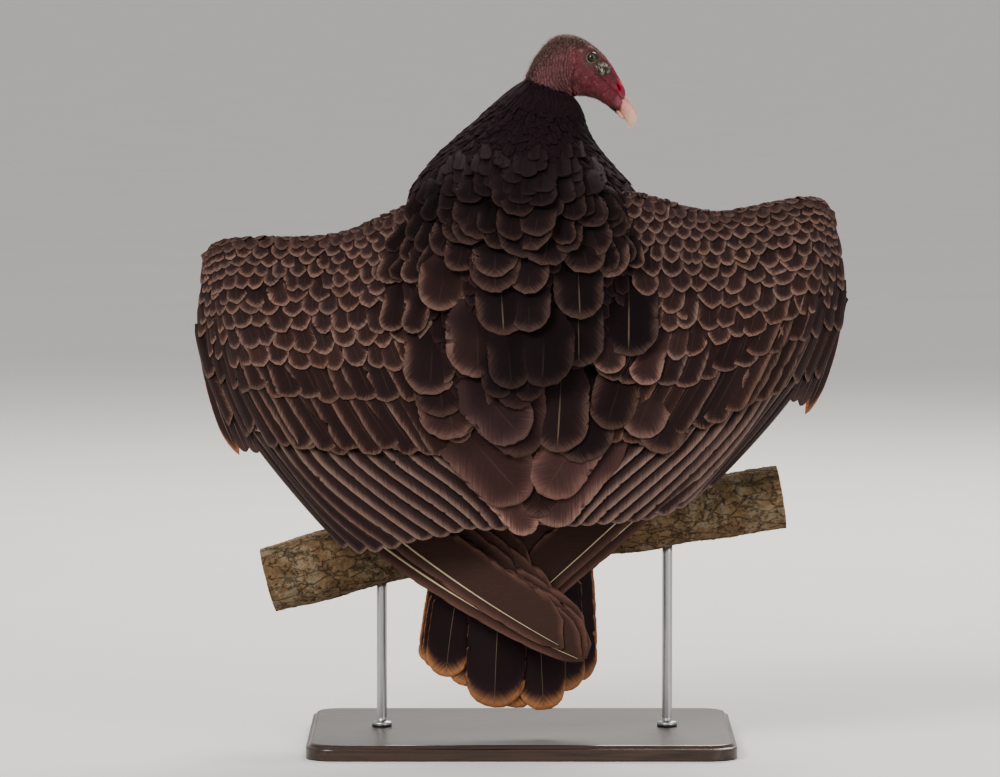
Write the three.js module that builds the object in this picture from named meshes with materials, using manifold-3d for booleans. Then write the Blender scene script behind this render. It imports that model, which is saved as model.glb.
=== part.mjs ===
// A life-size turkey vulture (Cathartes aura) sunning itself: it grips a cut length of branch with its
// back to -Y, its wings half open and hanging like a cloak, and its head turned over its right shoulder.
// Two rods carry the branch over a flat base. Millimetres, +Z up, the bird faces +Y and its right is +X.
// The origin is the centre of the base's underside.

import * as THREE from "three";
import { mergeVertices } from "three/addons/utils/BufferGeometryUtils.js";
import Module from "manifold-3d";

const wasm = await Module();
wasm.setup();

// ---------------------------------------------------------------- driving dimensions

const GAP = 0.35; // clearance between touching pieces
const CENTRE_SHIFT = 3; // brings the middle of the wings' spread over the origin

const BASE = { width: 380, depth: 290, height: 14, corner: 26, bevel: 1.5 };
const ROD = { radius: 4.5, reach: 128 }; // reach: sideways distance of each rod from the middle

// The branch lies along X and climbs to the bird's right: its centre's heights at equal steps.
const BRANCH = {
  halfLength: 230, radius: 28.3, stations: 15, sides: 12,
  heights: [146, 166, 182, 191, 198.5, 208.5, 221],
};

// Horizontal sections of the feathered body: height, middle in X, half width, back and belly in Y.
const BODY = [
  { z: 238, x: -4, w: 19, back: -69, belly: -38 },
  { z: 247, x: -4, w: 36, back: -80, belly: -22 },
  { z: 270, x: -3, w: 58, back: -92, belly: 8 },
  { z: 305, x: -2, w: 76, back: -101, belly: 34 },
  { z: 350, x: -1, w: 92, back: -106, belly: 57 },
  { z: 400, x: 0, w: 100, back: -106, belly: 73 },
  { z: 450, x: -1, w: 104, back: -97, belly: 81 },
  { z: 477, x: -1, w: 104, back: -88, belly: 82 },
  { z: 495, x: -2, w: 101, back: -80, belly: 81 },
  { z: 510, x: -3, w: 89, back: -70, belly: 78 },
  { z: 525, x: -4, w: 76, back: -56, belly: 73 },
  { z: 541, x: -1, w: 61, back: -40, belly: 67 },
  { z: 555, x: 4, w: 50, back: -27, belly: 62 },
  { z: 570, x: 10, w: 39, back: -14, belly: 56 },
  { z: 583, x: 14, w: 28, back: -2, belly: 49 },
  { z: 592, x: 16, w: 17, back: 8, belly: 40 },
];
const NECK_FROM = 541; // the trunk ends and the neck's ruff starts at this height

// The head in profile, from the nape to the root of the bill: crown side, throat side, half width along Y.
const HEAD_Y = 25;
const HEAD = [
  { crown: [4, 586], throat: [38, 573], w: 18 },
  { crown: [1.6, 596], throat: [42, 577], w: 19 },
  { crown: [8.4, 611], throat: [46, 579], w: 20 },
  { crown: [18.6, 624.6], throat: [49, 579.6], w: 20.5 },
  { crown: [27, 631], throat: [52, 579.6], w: 21 },
  { crown: [36.5, 633.2], throat: [55.5, 579.2], w: 21 },
  { crown: [47.4, 631.4], throat: [59.5, 578.2], w: 20.5 },
  { crown: [57.6, 626.2], throat: [63.5, 576.8], w: 19 },
  { crown: [67.6, 618.6], throat: [68, 574.4], w: 16.2 },
  { crown: [75.8, 609.8], throat: [73, 570.8], w: 13 },
  { crown: [81.4, 601], throat: [77.6, 567.2], w: 10.8 },
  { crown: [86.8, 591.4], throat: [80.8, 564.8], w: 9.6 },
  { crown: [90.6, 580.6], throat: [82.6, 563], w: 8.6 },
];
const BILL_UPPER = [
  { crown: [91, 578.7], throat: [84.4, 569.4], w: 8.2 },
  { crown: [95.6, 573.6], throat: [86.6, 566.2], w: 7.4 },
  { crown: [99.6, 567], throat: [88.6, 562.8], w: 6.4 },
  { crown: [100.9, 560.6], throat: [90.6, 559.6], w: 5.1 },
  { crown: [98.8, 554.4], throat: [92.8, 556.4], w: 3.6 },
  { crown: [95, 550.6], throat: [93.2, 553.2], w: 2 },
  { crown: [92.2, 549.2], throat: [91.9, 549.9], w: 0.7 },
];
const BILL_LOWER = [
  { crown: [84, 568.6], throat: [82.9, 562.2], w: 6.6 },
  { crown: [86, 565.6], throat: [84.8, 560.4], w: 5.8 },
  { crown: [88, 562.2], throat: [87.2, 558.6], w: 4.4 },
  { crown: [89.6, 559.2], throat: [89.2, 557.6], w: 2.4 },
];
const NOSTRIL = { at: [84.4, 587], half: [5, 1.9], turn: -1.12 };
const EYE = { at: [60, 613.4], radius: 6.4, out: 11.6 }; // out: centre's distance from the head's middle

// Wings. Each key line is a quadratic curve of three points (outward, y, z) from the leading edge to a
// feather's tip: over the back, at the shoulder, in mid forearm, at the last secondary, down the hand.
const WING_RIGHT = {
  side: 1,
  keys: [
    [[8, -80, 500], [12, -124, 350], [7, -115, 204]],
    [[98, -34, 494], [106, -112, 310], [48, -116, 207]],
    [[170, 0, 477], [194, -100, 312], [100, -108, 212]],
    [[256, 34, 488], [252, -66, 342], [165, -84, 238]],
    [[276, 44, 474], [304, 50, 385], [258, 22, 297]],
  ],
  hand: [
    [[272, 34, 440], [104, -66, 294], [-27, -82, 127]],
    [[287, 40, 388], [180, -58, 260], [-13, -80, 113]],
  ],
};
const WING_LEFT = {
  side: -1,
  keys: [
    [[8, -80, 500], [14, -124, 340], [-2, -115, 197]],
    [[100, -34, 484], [104, -112, 300], [40, -116, 203]],
    [[168, 0, 457], [188, -100, 290], [95, -108, 192]],
    [[266, 34, 450], [242, -66, 292], [160, -84, 184]],
    [[287, 44, 436], [306, 50, 340], [263, 22, 262]],
  ],
  hand: [
    [[276, 34, 390], [76, -86, 222], [-57, -103, 92]],
    [[290, 40, 336], [188, -78, 168], [-54, -101, 80]],
  ],
};
const COVERT_END = [0.6, 0.7, 0.65, 0.62, 0.8]; // share of each key line that the coverts hide
const ARM_THICKNESS = [9, 26, 26, 20, 10];
const ARM_SPAN = { from: 0, to: 4, stations: 15, chord: 7 };

const SECONDARIES = { count: 12, from: 0, to: 3, steps: 3, sink: 1.6, notch: 0.04 };
const PRIMARIES = { count: 9, from: 0, to: 1, steps: 4, notch: 0.02, crowd: 0.55, stagger: 0.16, root: 0.03 };
const ALULA = { count: 2, from: 3.55, to: 4, steps: 2, sink: 2.2, notch: 0.14, stagger: 0.1 };
const VANE = 2; // thickness of a sheet of flight feathers

// The tail's rows of three points run from its left edge to its right edge.
const TAIL = {
  lines: [
    [[-28, -56, 296], [-92, -50, 180], [-97, -52, 66]],
    [[-12, -60, 300], [-44, -62, 180], [-56, -66, 40]],
    [[0, -60, 302], [-16, -66, 180], [-16, -69, 35]],
    [[12, -60, 300], [14, -62, 180], [22, -65, 35]],
    [[28, -56, 296], [70, -50, 180], [62, -52, 58]],
  ],
  count: 12, steps: 3, root: 0.15, notch: 0.06, lift: 1.2,
};

const LEG = { x: 43, heelY: -20, heelZ: 282, tarsus: 4.6 };
const TOES = [
  { name: "outer", spread: 17, wrap: 1.3, thick: 4.6 },
  { name: "middle", spread: 1, wrap: 1.78, thick: 5 },
  { name: "inner", spread: -15, wrap: 1.25, thick: 4.6 },
  { name: "hind", spread: -3, wrap: -0.85, thick: 4.2 },
];
const CLAW = { length: 14, radius: 2.5 };

// ---------------------------------------------------------------- colours

const paint = (color, roughness, metalness = 0) =>
  new THREE.MeshStandardMaterial({ color, roughness, metalness });
const PLUMAGE = paint(0x241c19, 0.75);
const COVERTS = paint(0x3d302a, 0.75);
const FLIGHT = paint(0x352a27, 0.65);
const BARE_SKIN = paint(0x8c3440, 0.5);
const IVORY = paint(0xe0bdae, 0.4);
const LEG_SKIN = paint(0xb59a90, 0.6);
const HORN = paint(0x2b2624, 0.4);
const EYE_DARK = paint(0x1a1410, 0.1);
const BARK = paint(0x5c5040, 0.9);
const STEEL = paint(0x6f6f70, 0.35, 0.9);
const LACQUER = paint(0x2a2523, 0.4);

// ---------------------------------------------------------------- solids from rings

const vec = (x, y, z) => new THREE.Vector3(x, y, z);

// A closed geometry through rings of points, facing out. Each end is closed by a ladder of triangles
// from the ring's first and last points inwards, which suits thin strips as well as round sections.
function loft(rings) {
  const sides = rings[0].length;
  const points = rings.flat();
  const index = [];
  for (let r = 0; r + 1 < rings.length; r++) {
    for (let i = 0; i < sides; i++) {
      const a = r * sides + i;
      const b = r * sides + ((i + 1) % sides);
      index.push(a, b, a + sides, b, b + sides, a + sides);
    }
  }
  for (const [first, flip] of [[0, true], [(rings.length - 1) * sides, false]]) {
    const face = (a, b, c) => index.push(first + (flip ? b : a), first + (flip ? a : b), first + c);
    for (let i = 0, j = sides - 1; i + 1 < j; i++, j--) {
      face(i, i + 1, j);
      if (i + 1 < j - 1) face(i + 1, j - 1, j);
    }
  }
  let volume = 0;
  for (let i = 0; i < index.length; i += 3) {
    const [a, b, c] = [0, 1, 2].map((k) => points[index[i + k]]);
    volume += a.dot(b.clone().cross(c));
  }
  if (volume < 0) {
    for (let i = 0; i < index.length; i += 3) [index[i], index[i + 1]] = [index[i + 1], index[i]];
  }
  const geometry = new THREE.BufferGeometry();
  geometry.setAttribute("position", new THREE.Float32BufferAttribute(points.flatMap((p) => p.toArray()), 3));
  geometry.setIndex(index);
  return geometry;
}

function solid(geometry) {
  const plain = geometry.clone();
  plain.deleteAttribute("normal");
  plain.deleteAttribute("uv");
  const merged = mergeVertices(plain, 1e-4);
  return new wasm.Manifold(new wasm.Mesh({
    numProp: 3,
    vertProperties: new Float32Array(merged.attributes.position.array),
    triVerts: new Uint32Array(merged.index.array),
  }));
}

function geometryOf(made) {
  const mesh = made.getMesh();
  const geometry = new THREE.BufferGeometry();
  geometry.setAttribute("position", new THREE.BufferAttribute(new Float32Array(mesh.vertProperties), 3));
  geometry.setIndex(new THREE.BufferAttribute(new Uint32Array(mesh.triVerts), 1));
  return geometry;
}

const joined = (solids) => solids.reduce((all, one) => all.add(one));

// The largest body of a cut solid, without the slivers and needle edges that the cut leaves.
const largest = (made) =>
  made.simplify(0.02).decompose().reduce((a, b) => (a.volume() > b.volume() ? a : b));

const part = new THREE.Group();
part.position.x = CENTRE_SHIFT;

function add(name, shape, material) {
  const mesh = new THREE.Mesh(shape.isBufferGeometry ? shape : geometryOf(shape), material);
  mesh.name = name;
  part.add(mesh);
}

// Points of an ellipse-like ring: centre, the two half axes as vectors, how many, and how square.
function ring(centre, across, along, sides, square = 1) {
  const points = [];
  for (let i = 0; i < sides; i++) {
    const angle = (2 * Math.PI * i) / sides;
    const c = Math.sign(Math.cos(angle)) * Math.abs(Math.cos(angle)) ** square;
    const s = Math.sign(Math.sin(angle)) * Math.abs(Math.sin(angle)) ** square;
    points.push(centre.clone().addScaledVector(across, c).addScaledVector(along, s));
  }
  return points;
}

// ---------------------------------------------------------------- body, neck and head

const BODY_SIDES = 22;
const BODY_SQUARENESS = 0.92;

function bodyAt({ x, z, w, back, belly }, grow) {
  const middle = vec(x, (back + belly) / 2, z);
  const across = vec(w + grow, 0, 0);
  const deep = vec(0, (belly - back) / 2 + grow, 0);
  return ring(middle, across, deep, BODY_SIDES, BODY_SQUARENESS);
}

function between(rows, z) {
  const i = Math.max(1, rows.findIndex((r) => r.z >= z));
  const [a, b] = [rows[i - 1], rows[i]];
  const t = (z - a.z) / (b.z - a.z);
  const mixed = {};
  for (const key of Object.keys(a)) mixed[key] = a[key] + t * (b[key] - a[key]);
  return mixed;
}

function bodySolid(from, to, grow = 0) {
  const inside = BODY.filter((r) => r.z > from && r.z < to);
  const rows = [between(BODY, from), ...inside, between(BODY, to)];
  const rings = rows.map((r) => bodyAt(r, grow));
  if (grow) {
    rings[0].forEach((p) => (p.z -= grow));
    rings.at(-1).forEach((p) => (p.z += grow));
  }
  return solid(loft(rings));
}

const HEAD_SIDES = 13;
function profileSolid(rows, grow = 0, sides = HEAD_SIDES) {
  const rings = rows.map(({ crown, throat, w }) => {
    const top = vec(crown[0], HEAD_Y, crown[1]);
    const low = vec(throat[0], HEAD_Y, throat[1]);
    const half = top.clone().sub(low).divideScalar(2);
    half.setLength(half.length() + grow);
    return ring(top.add(low).divideScalar(2), vec(0, w + grow, 0), half, sides, 0.95);
  });
  return solid(loft(rings));
}

const bottom = BODY[0].z;
const ruffTop = BODY.at(-1).z;
const trunkGrown = bodySolid(bottom, ruffTop, GAP);

function nostrilCut() {
  const tube = new THREE.CylinderGeometry(1, 1, 60, 10);
  tube.scale(NOSTRIL.half[0], 1, NOSTRIL.half[1]);
  tube.rotateY(-NOSTRIL.turn);
  tube.translate(NOSTRIL.at[0], HEAD_Y, NOSTRIL.at[1]);
  return solid(tube);
}

function eyeball(side, grow = 0) {
  const ball = new THREE.SphereGeometry(EYE.radius + grow, 10, 8);
  ball.rotateX(Math.PI / 2);
  ball.translate(EYE.at[0], HEAD_Y + side * EYE.out, EYE.at[1]);
  return solid(ball);
}

add("trunk", bodySolid(bottom, NECK_FROM), PLUMAGE);
const neck = bodySolid(NECK_FROM + GAP, ruffTop);
add("neck", largest(neck.subtract(profileSolid(HEAD, GAP))), PLUMAGE);

let head = profileSolid(HEAD).subtract(nostrilCut());
for (const side of [1, -1]) head = head.subtract(eyeball(side, GAP));
add("head", largest(head), BARE_SKIN);
add("eye_right", eyeball(-1), EYE_DARK);
add("eye_left", eyeball(1), EYE_DARK);
const headGrown = profileSolid(HEAD, GAP);
const billUpper = profileSolid(BILL_UPPER, 0, 10).subtract(headGrown);
add("bill_upper", largest(billUpper), IVORY);
const billLower = profileSolid(BILL_LOWER, 0, 8).subtract(headGrown);
add("bill_lower", largest(billLower.subtract(profileSolid(BILL_UPPER, GAP, 10))), IVORY);

// ---------------------------------------------------------------- feather sheets

// A smooth value through a list of values at 0, 1, 2, ...: lists of numbers mix item by item.
function through(values, u) {
  const last = values.length - 1;
  const i = Math.min(Math.max(Math.floor(u), 0), last - 1);
  const at = (k) => {
    if (k < 0) return mix(values[0], values[1], -1);
    return k > last ? mix(values[last], values[last - 1], -1) : values[k];
  };
  const [p, q, r, s] = [at(i - 1), at(i), at(i + 1), at(i + 2)];
  const t = u - i;
  const blend = (a, b, c, d) =>
    0.5 * (2 * b + (c - a) * t + (2 * a - 5 * b + 4 * c - d) * t * t + (3 * b - a - 3 * c + d) * t ** 3);
  return Array.isArray(q) ? q.map((_, k) => blend(p[k], q[k], r[k], s[k])) : blend(p, q, r, s);
}
const mix = (a, b, t) => (Array.isArray(a) ? a.map((v, k) => v + t * (b[k] - v)) : a + t * (b - a));

// A surface of lines: u picks the line and t runs along it. Its normal points to the back, -Y.
function sheet(keys, side) {
  const point = (u, t) => {
    const [p, q, r] = [0, 1, 2].map((k) => vec(...through(keys.map((line) => line[k]), u)));
    p.multiplyScalar((1 - t) ** 2).addScaledVector(q, 2 * t * (1 - t)).addScaledVector(r, t * t);
    p.x *= side;
    return p;
  };
  const frame = (u, t) => {
    const step = 0.01;
    const at = point(u, t);
    const along = point(u, t + step).sub(point(u, t - step)).normalize();
    const across = point(u + step, t).sub(point(u - step, t));
    const normal = along.clone().cross(across).normalize();
    if (normal.y > 0) normal.negate();
    return { at, along, normal, out: along.clone().cross(normal).normalize() };
  };
  return { point, frame, side };
}

// A row of overlapping feathers in one piece, over the lines from..to of a surface. Each feather rises
// towards its outer edge, drops there to the next one and has a round tip. rootAt(u) says where along
// line u the row begins; crowd below 1 widens the first feathers; stagger shortens them.
const COLUMNS = [0.03, 0.3, 0.7, 0.97];
const NARROW = [0.03, 0.5, 0.97];
function vanes(surface, row, grow = 0) {
  const { from, to, count, steps, rootAt, columns = COLUMNS, notch } = row;
  const { lift = 1.6, sink = 0, crowd = 1, stagger = 0 } = row;
  const rings = [];
  for (let i = 0; i < count; i++) {
    const short = stagger * (1 - i / (count - 1)) ** 2;
    for (const s of columns) {
      const u = from + (to - from) * ((i + s) / count) ** crowd;
      const end = 1 - short - notch * Math.abs(2 * s - 1) ** 2.5;
      const upper = [];
      const lower = [];
      for (let k = 0; k <= steps; k++) {
        const { at, normal } = surface.frame(u, mix(rootAt(u), end, k / steps));
        const height = lift * (s - 0.5) - sink;
        upper.push(at.clone().addScaledVector(normal, height + grow));
        lower.unshift(at.addScaledVector(normal, height - VANE - grow));
      }
      rings.push([...upper, ...lower]);
    }
  }
  return solid(loft(rings));
}

// ---------------------------------------------------------------- wings

// Where the coverts end along line u of a wing, as a share of the line.
const covertEnd = (u) => through(COVERT_END, u);

function armSolid(wing, grow = 0) {
  const surface = sheet(wing.keys, wing.side);
  const rings = [];
  for (let i = 0; i < ARM_SPAN.stations; i++) {
    const u = ARM_SPAN.from + ((ARM_SPAN.to - ARM_SPAN.from) * i) / (ARM_SPAN.stations - 1);
    const thickness = through(ARM_THICKNESS, u);
    const upper = [];
    const lower = [];
    for (let k = 0; k <= ARM_SPAN.chord; k++) {
      const share = (k / ARM_SPAN.chord) ** 1.4;
      const { at, normal } = surface.frame(u, covertEnd(u) * share);
      const full = 1.9 * Math.sqrt(share) * (1 - share) + 0.22 * Math.sqrt(share);
      upper.push(at.clone().addScaledVector(normal, grow));
      if (k > 0) lower.unshift(at.addScaledVector(normal, -Math.max(3.2, thickness * full) - grow));
    }
    rings.push([...upper, ...lower]);
  }
  return solid(loft(rings));
}

function addWing(wing, name) {
  const feathers = sheet(wing.keys, wing.side);
  const hand = sheet(wing.hand, wing.side);
  const rootAt = (u) => covertEnd(u) + 0.01;
  const armGrown = armSolid(wing, GAP);
  const alulaGrown = vanes(feathers, { ...ALULA, rootAt }, GAP);
  add(`wing_${name}_arm`, largest(armSolid(wing).subtract(trunkGrown)), COVERTS);
  const secondaries = vanes(feathers, { ...SECONDARIES, rootAt });
  add(`wing_${name}_secondaries`, largest(secondaries.subtract(trunkGrown)), FLIGHT);
  add(`wing_${name}_alula`, vanes(feathers, { ...ALULA, rootAt }), FLIGHT);
  const primaries = vanes(hand, { ...PRIMARIES, columns: NARROW, rootAt: () => PRIMARIES.root });
  add(`wing_${name}_primaries`, largest(primaries.subtract(armGrown).subtract(alulaGrown)), FLIGHT);
}
addWing(WING_RIGHT, "right");
addWing(WING_LEFT, "left");

// ---------------------------------------------------------------- tail

const tailRow = { ...TAIL, columns: NARROW, from: 0, to: TAIL.lines.length - 1, rootAt: () => TAIL.root };
add("tail", largest(vanes(sheet(TAIL.lines, 1), tailRow).subtract(trunkGrown)), FLIGHT);

// ---------------------------------------------------------------- branch, legs and feet

function branchHeight(x) {
  const share = (x / BRANCH.halfLength + 1) / 2;
  return through(BRANCH.heights, share * (BRANCH.heights.length - 1));
}

const branchSlope = (x) => (branchHeight(x + 1) - branchHeight(x - 1)) / 2;
const branchRadius = (x) => BRANCH.radius + 0.9 * Math.sin(x / 38) + 0.7 * Math.sin(x / 15 + 1);

function branchSolid(grow = 0) {
  const rings = [];
  const reach = BRANCH.halfLength + grow;
  for (let i = 0; i < BRANCH.stations; i++) {
    const x = -reach + (2 * reach * i) / (BRANCH.stations - 1);
    const lean = vec(-branchSlope(x), 0, 1).normalize().multiplyScalar(branchRadius(x) + grow);
    const across = vec(0, branchRadius(x) + grow, 0);
    rings.push(ring(vec(x, 0, branchHeight(x)), across, lean, BRANCH.sides));
  }
  return solid(loft(rings));
}
const branchGrown = branchSolid(GAP);
add("perch_branch", branchSolid(), BARK);

// A tube of changing radius along a list of points.
function limb(points, radii, sides = 7) {
  const curve = new THREE.CatmullRomCurve3(points);
  const steps = points.length - 1;
  const rings = [];
  for (let i = 0; i <= steps; i++) {
    const t = i / steps;
    const along = curve.getTangent(t);
    const across = vec(1, 0, 0).cross(along).normalize();
    const other = along.clone().cross(across).normalize();
    const r = through(radii, t * (radii.length - 1));
    rings.push(ring(curve.getPoint(t), across.multiplyScalar(r), other.multiplyScalar(r), sides));
  }
  return solid(loft(rings));
}

// A point over the branch's skin: x along it, turn round it from the top towards +Y, and height over it.
function onBranch(x, turn, over) {
  const r = branchRadius(x) + over;
  const up = r * Math.cos(turn);
  return vec(x - branchSlope(x) * up, r * Math.sin(turn), branchHeight(x) + up);
}

function buildLeg(side, name) {
  const x = side * LEG.x;
  const ankle = onBranch(x, 0, 7);
  const heel = vec(x + side * 1, LEG.heelY, LEG.heelZ);
  const toes = [];
  const claws = [];
  for (const toe of TOES) {
    const path = [];
    for (let k = 0; k <= 4; k++) {
      const share = k / 4;
      const thin = toe.thick * (1 - 0.3 * share);
      const aside = side * toe.spread * Math.sin((Math.PI / 2) * share);
      path.push(onBranch(x + aside, toe.wrap * share, thin + 1.2));
    }
    toes.push(limb(path, [toe.thick, toe.thick * 0.92, toe.thick * 0.85, toe.thick * 0.7]));
    const reach = CLAW.length / (branchRadius(x) + 6);
    const clawPath = [0, 1, 2].map((k) => {
      const turn = toe.wrap + Math.sign(toe.wrap) * reach * (k / 2);
      return onBranch(x + side * toe.spread * 1.02, turn, 5.5 - 0.9 * k * k * 0.6);
    });
    claws.push({ toe, shape: limb(clawPath, [CLAW.radius, CLAW.radius * 0.75, 0.35], 5) });
  }
  const pad = new THREE.SphereGeometry(8.5, 9, 6);
  pad.translate(ankle.x, ankle.y, ankle.z + 1);
  const foot = joined([...toes, solid(pad)]).subtract(branchGrown);
  const above = (point, y, z) => point.clone().add(vec(0, y, z));
  const shankPath = [above(ankle, 0, 2), ankle.clone().lerp(heel, 0.5), heel, above(heel, 6, 16)];
  const shank = limb(shankPath, [LEG.tarsus, LEG.tarsus * 0.9, LEG.tarsus, LEG.tarsus * 1.5], 12);
  const thighPath = [
    vec(x + side * 6, 6, 345), vec(x + side * 5, 6, 318),
    vec(x + side * 3, -5, 297), vec(x + side, -17, 276),
  ];
  const thigh = (grow) => limb(thighPath, [34 + grow, 32 + grow, 22 + grow, 9 + grow], 12);
  // The shank ends inside the foot: this sleeve, 4 mm wider than the shank, parts the one from the other.
  const sleeve = (height) => limb([above(ankle, 0, height), heel], [LEG.tarsus + 4, LEG.tarsus + 4]);
  const footCut = sleeve(9.2);
  add(`thigh_${name}`, largest(thigh(0).subtract(trunkGrown)), PLUMAGE);
  const shankBelow = shank.subtract(thigh(GAP)).subtract(trunkGrown).intersect(footCut);
  add(`tarsus_${name}`, largest(shankBelow), LEG_SKIN);
  const footBelow = foot.subtract(shank.intersect(footCut)).subtract(sleeve(9));
  add(`foot_${name}`, largest(footBelow), LEG_SKIN);
  const footGrown = joined(toes);
  for (const { toe, shape } of claws) {
    add(`claw_${name}_${toe.name}`, largest(shape.subtract(footGrown).subtract(branchGrown)), HORN);
  }
}
buildLeg(1, "right");
buildLeg(-1, "left");

// ---------------------------------------------------------------- display stand

function baseGeometry() {
  const [w, d, r] = [BASE.width / 2 - BASE.bevel, BASE.depth / 2 - BASE.bevel, BASE.corner];
  const outline = new THREE.Shape();
  outline.moveTo(-w + r, -d);
  outline.lineTo(w - r, -d);
  outline.absarc(w - r, -d + r, r, -Math.PI / 2, 0);
  outline.absarc(w - r, d - r, r, 0, Math.PI / 2);
  outline.absarc(-w + r, d - r, r, Math.PI / 2, Math.PI);
  outline.absarc(-w + r, -d + r, r, Math.PI, 1.5 * Math.PI);
  const plate = new THREE.ExtrudeGeometry(outline, {
    depth: BASE.height - 2 * BASE.bevel, bevelSize: BASE.bevel, bevelThickness: BASE.bevel, bevelSegments: 1,
    curveSegments: 4,
  });
  return plate.translate(0, 0, BASE.bevel);
}
add("stand_base", solid(baseGeometry()), LACQUER);

for (const [side, name] of [[1, "right"], [-1, "left"]]) {
  const top = branchHeight(side * ROD.reach);
  const rod = new THREE.CylinderGeometry(ROD.radius, ROD.radius, top - BASE.height - GAP, 14);
  rod.rotateX(Math.PI / 2);
  rod.translate(side * ROD.reach, 0, (top + BASE.height + GAP) / 2);
  add(`stand_rod_${name}`, largest(solid(rod).subtract(branchGrown)), STEEL);
}

export default part;
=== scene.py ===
"""A life-size turkey vulture, sunning with half-open wings on a cut branch over a display stand.

Lengths are millimetres until they are written to a mesh; +Z is up and the bird faces +Y.
"""

import math
from itertools import product

import bmesh
import bpy
import numpy as np
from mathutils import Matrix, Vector, noise
from mathutils.bvhtree import BVHTree


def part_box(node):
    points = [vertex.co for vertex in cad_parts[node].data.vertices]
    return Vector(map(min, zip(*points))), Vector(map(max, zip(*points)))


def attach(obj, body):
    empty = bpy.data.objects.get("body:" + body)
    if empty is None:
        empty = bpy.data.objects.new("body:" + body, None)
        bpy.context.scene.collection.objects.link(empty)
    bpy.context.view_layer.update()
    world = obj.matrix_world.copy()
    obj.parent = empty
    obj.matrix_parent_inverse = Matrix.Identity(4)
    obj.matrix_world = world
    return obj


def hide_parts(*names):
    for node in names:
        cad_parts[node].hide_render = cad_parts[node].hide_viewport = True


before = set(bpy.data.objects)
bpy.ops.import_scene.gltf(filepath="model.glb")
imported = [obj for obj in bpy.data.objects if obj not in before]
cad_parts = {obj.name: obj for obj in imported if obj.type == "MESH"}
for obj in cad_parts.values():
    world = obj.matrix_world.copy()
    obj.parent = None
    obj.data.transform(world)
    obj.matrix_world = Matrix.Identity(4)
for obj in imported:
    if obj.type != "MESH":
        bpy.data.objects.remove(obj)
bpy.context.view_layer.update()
rng = np.random.default_rng(11)
MM = 0.001
SHIFT = np.array([3.0, 0.0, 0.0])  # the model's middle lies 3 mm to the left of the bird's own


# ------------------------------------------------------------------ small helpers

def srgb(r, g, b):
    """A colour given from 0 to 255, as linear light."""
    c = np.array([r, g, b]) / 255.0
    return np.where(c <= 0.04045, c / 12.92, ((c + 0.055) / 1.055) ** 2.4)


def smooth(a, b, x):
    """0 at a, 1 at b, and an even ease between them."""
    t = np.clip((x - a) / (b - a), 0, 1)
    return t * t * (3 - 2 * t)


def unit(v):
    return v / np.maximum(np.linalg.norm(v, axis=-1, keepdims=True), 1e-9)


def through(values, u):
    """Catmull-Rom through values at 0, 1, 2, ...; u may be an array."""
    values = np.asarray(values, float)
    last = len(values) - 1
    padded = np.concatenate([[2 * values[0] - values[1]], values, [2 * values[-1] - values[-2]]])
    u = np.asarray(u, float)
    i = np.clip(np.floor(u).astype(int), 0, last - 1)
    t = (u - i).reshape(u.shape + (1,) * (values.ndim - 1))
    a, b, c, d = (padded[i + k] for k in range(4))
    return 0.5 * (2 * b + (c - a) * t + (2 * a - 5 * b + 4 * c - d) * t**2 + (3 * b - a - 3 * c + d) * t**3)


def new_object(name, verts, quads, tris=None, points=None, uvs=None, shade=True):
    """A mesh object from arrays in mm; points holds named attributes, uvs named UV maps."""
    mesh = bpy.data.meshes.new(name)
    verts = (np.asarray(verts, float) + SHIFT) * MM
    tris = np.zeros((0, 3), int) if tris is None else np.asarray(tris)
    quads = np.zeros((0, 4), int) if quads is None else np.asarray(quads)
    loops = np.concatenate([quads.ravel(), tris.ravel()]).astype(np.int32)
    starts = np.concatenate([np.arange(len(quads)) * 4, len(quads) * 4 + np.arange(len(tris)) * 3])
    mesh.vertices.add(len(verts))
    mesh.vertices.foreach_set("co", verts.astype(np.float32).ravel())
    mesh.loops.add(len(loops))
    mesh.loops.foreach_set("vertex_index", loops)
    mesh.polygons.add(len(starts))
    mesh.polygons.foreach_set("loop_start", starts.astype(np.int32))
    mesh.update(calc_edges=True)
    mesh.polygons.foreach_set("use_smooth", np.full(len(starts), shade))
    for key, value in (uvs or {}).items():
        layer = mesh.uv_layers.new(name=key)
        layer.data.foreach_set("uv", np.asarray(value)[loops].astype(np.float32).ravel())
    for key, value in (points or {}).items():
        mark(mesh, key, value)
    mesh.validate()
    obj = bpy.data.objects.new(name, mesh)
    bpy.context.scene.collection.objects.link(obj)
    return obj


def mark(mesh, name, value):
    """Gives a mesh a number or a colour at each of its points."""
    value = np.asarray(value, float)
    if value.ndim == 1:
        mesh.attributes.new(name, "FLOAT", "POINT").data.foreach_set("value", value.astype(np.float32))
    else:
        rgba = np.concatenate([value, np.ones((len(value), 1))], 1).astype(np.float32)
        mesh.attributes.new(name, "FLOAT_COLOR", "POINT").data.foreach_set("color", rgba.ravel())


def finish(obj, slot, material, *nodes):
    """Gives an object its material and its body, and hides the nodes that it replaces; slot is not used."""
    obj.data.materials.clear()
    obj.data.materials.append(material)
    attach(obj, "root")
    if nodes:
        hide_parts(*nodes)
    return obj


def verts_of(obj):
    co = np.empty(len(obj.data.vertices) * 3, np.float32)
    obj.data.vertices.foreach_get("co", co)
    return co.reshape(-1, 3).astype(float) / MM - SHIFT


def apply_modifiers(obj):
    graph = bpy.context.evaluated_depsgraph_get()
    mesh = bpy.data.meshes.new_from_object(obj.evaluated_get(graph))
    obj.modifiers.clear()
    obj.data = mesh


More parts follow.
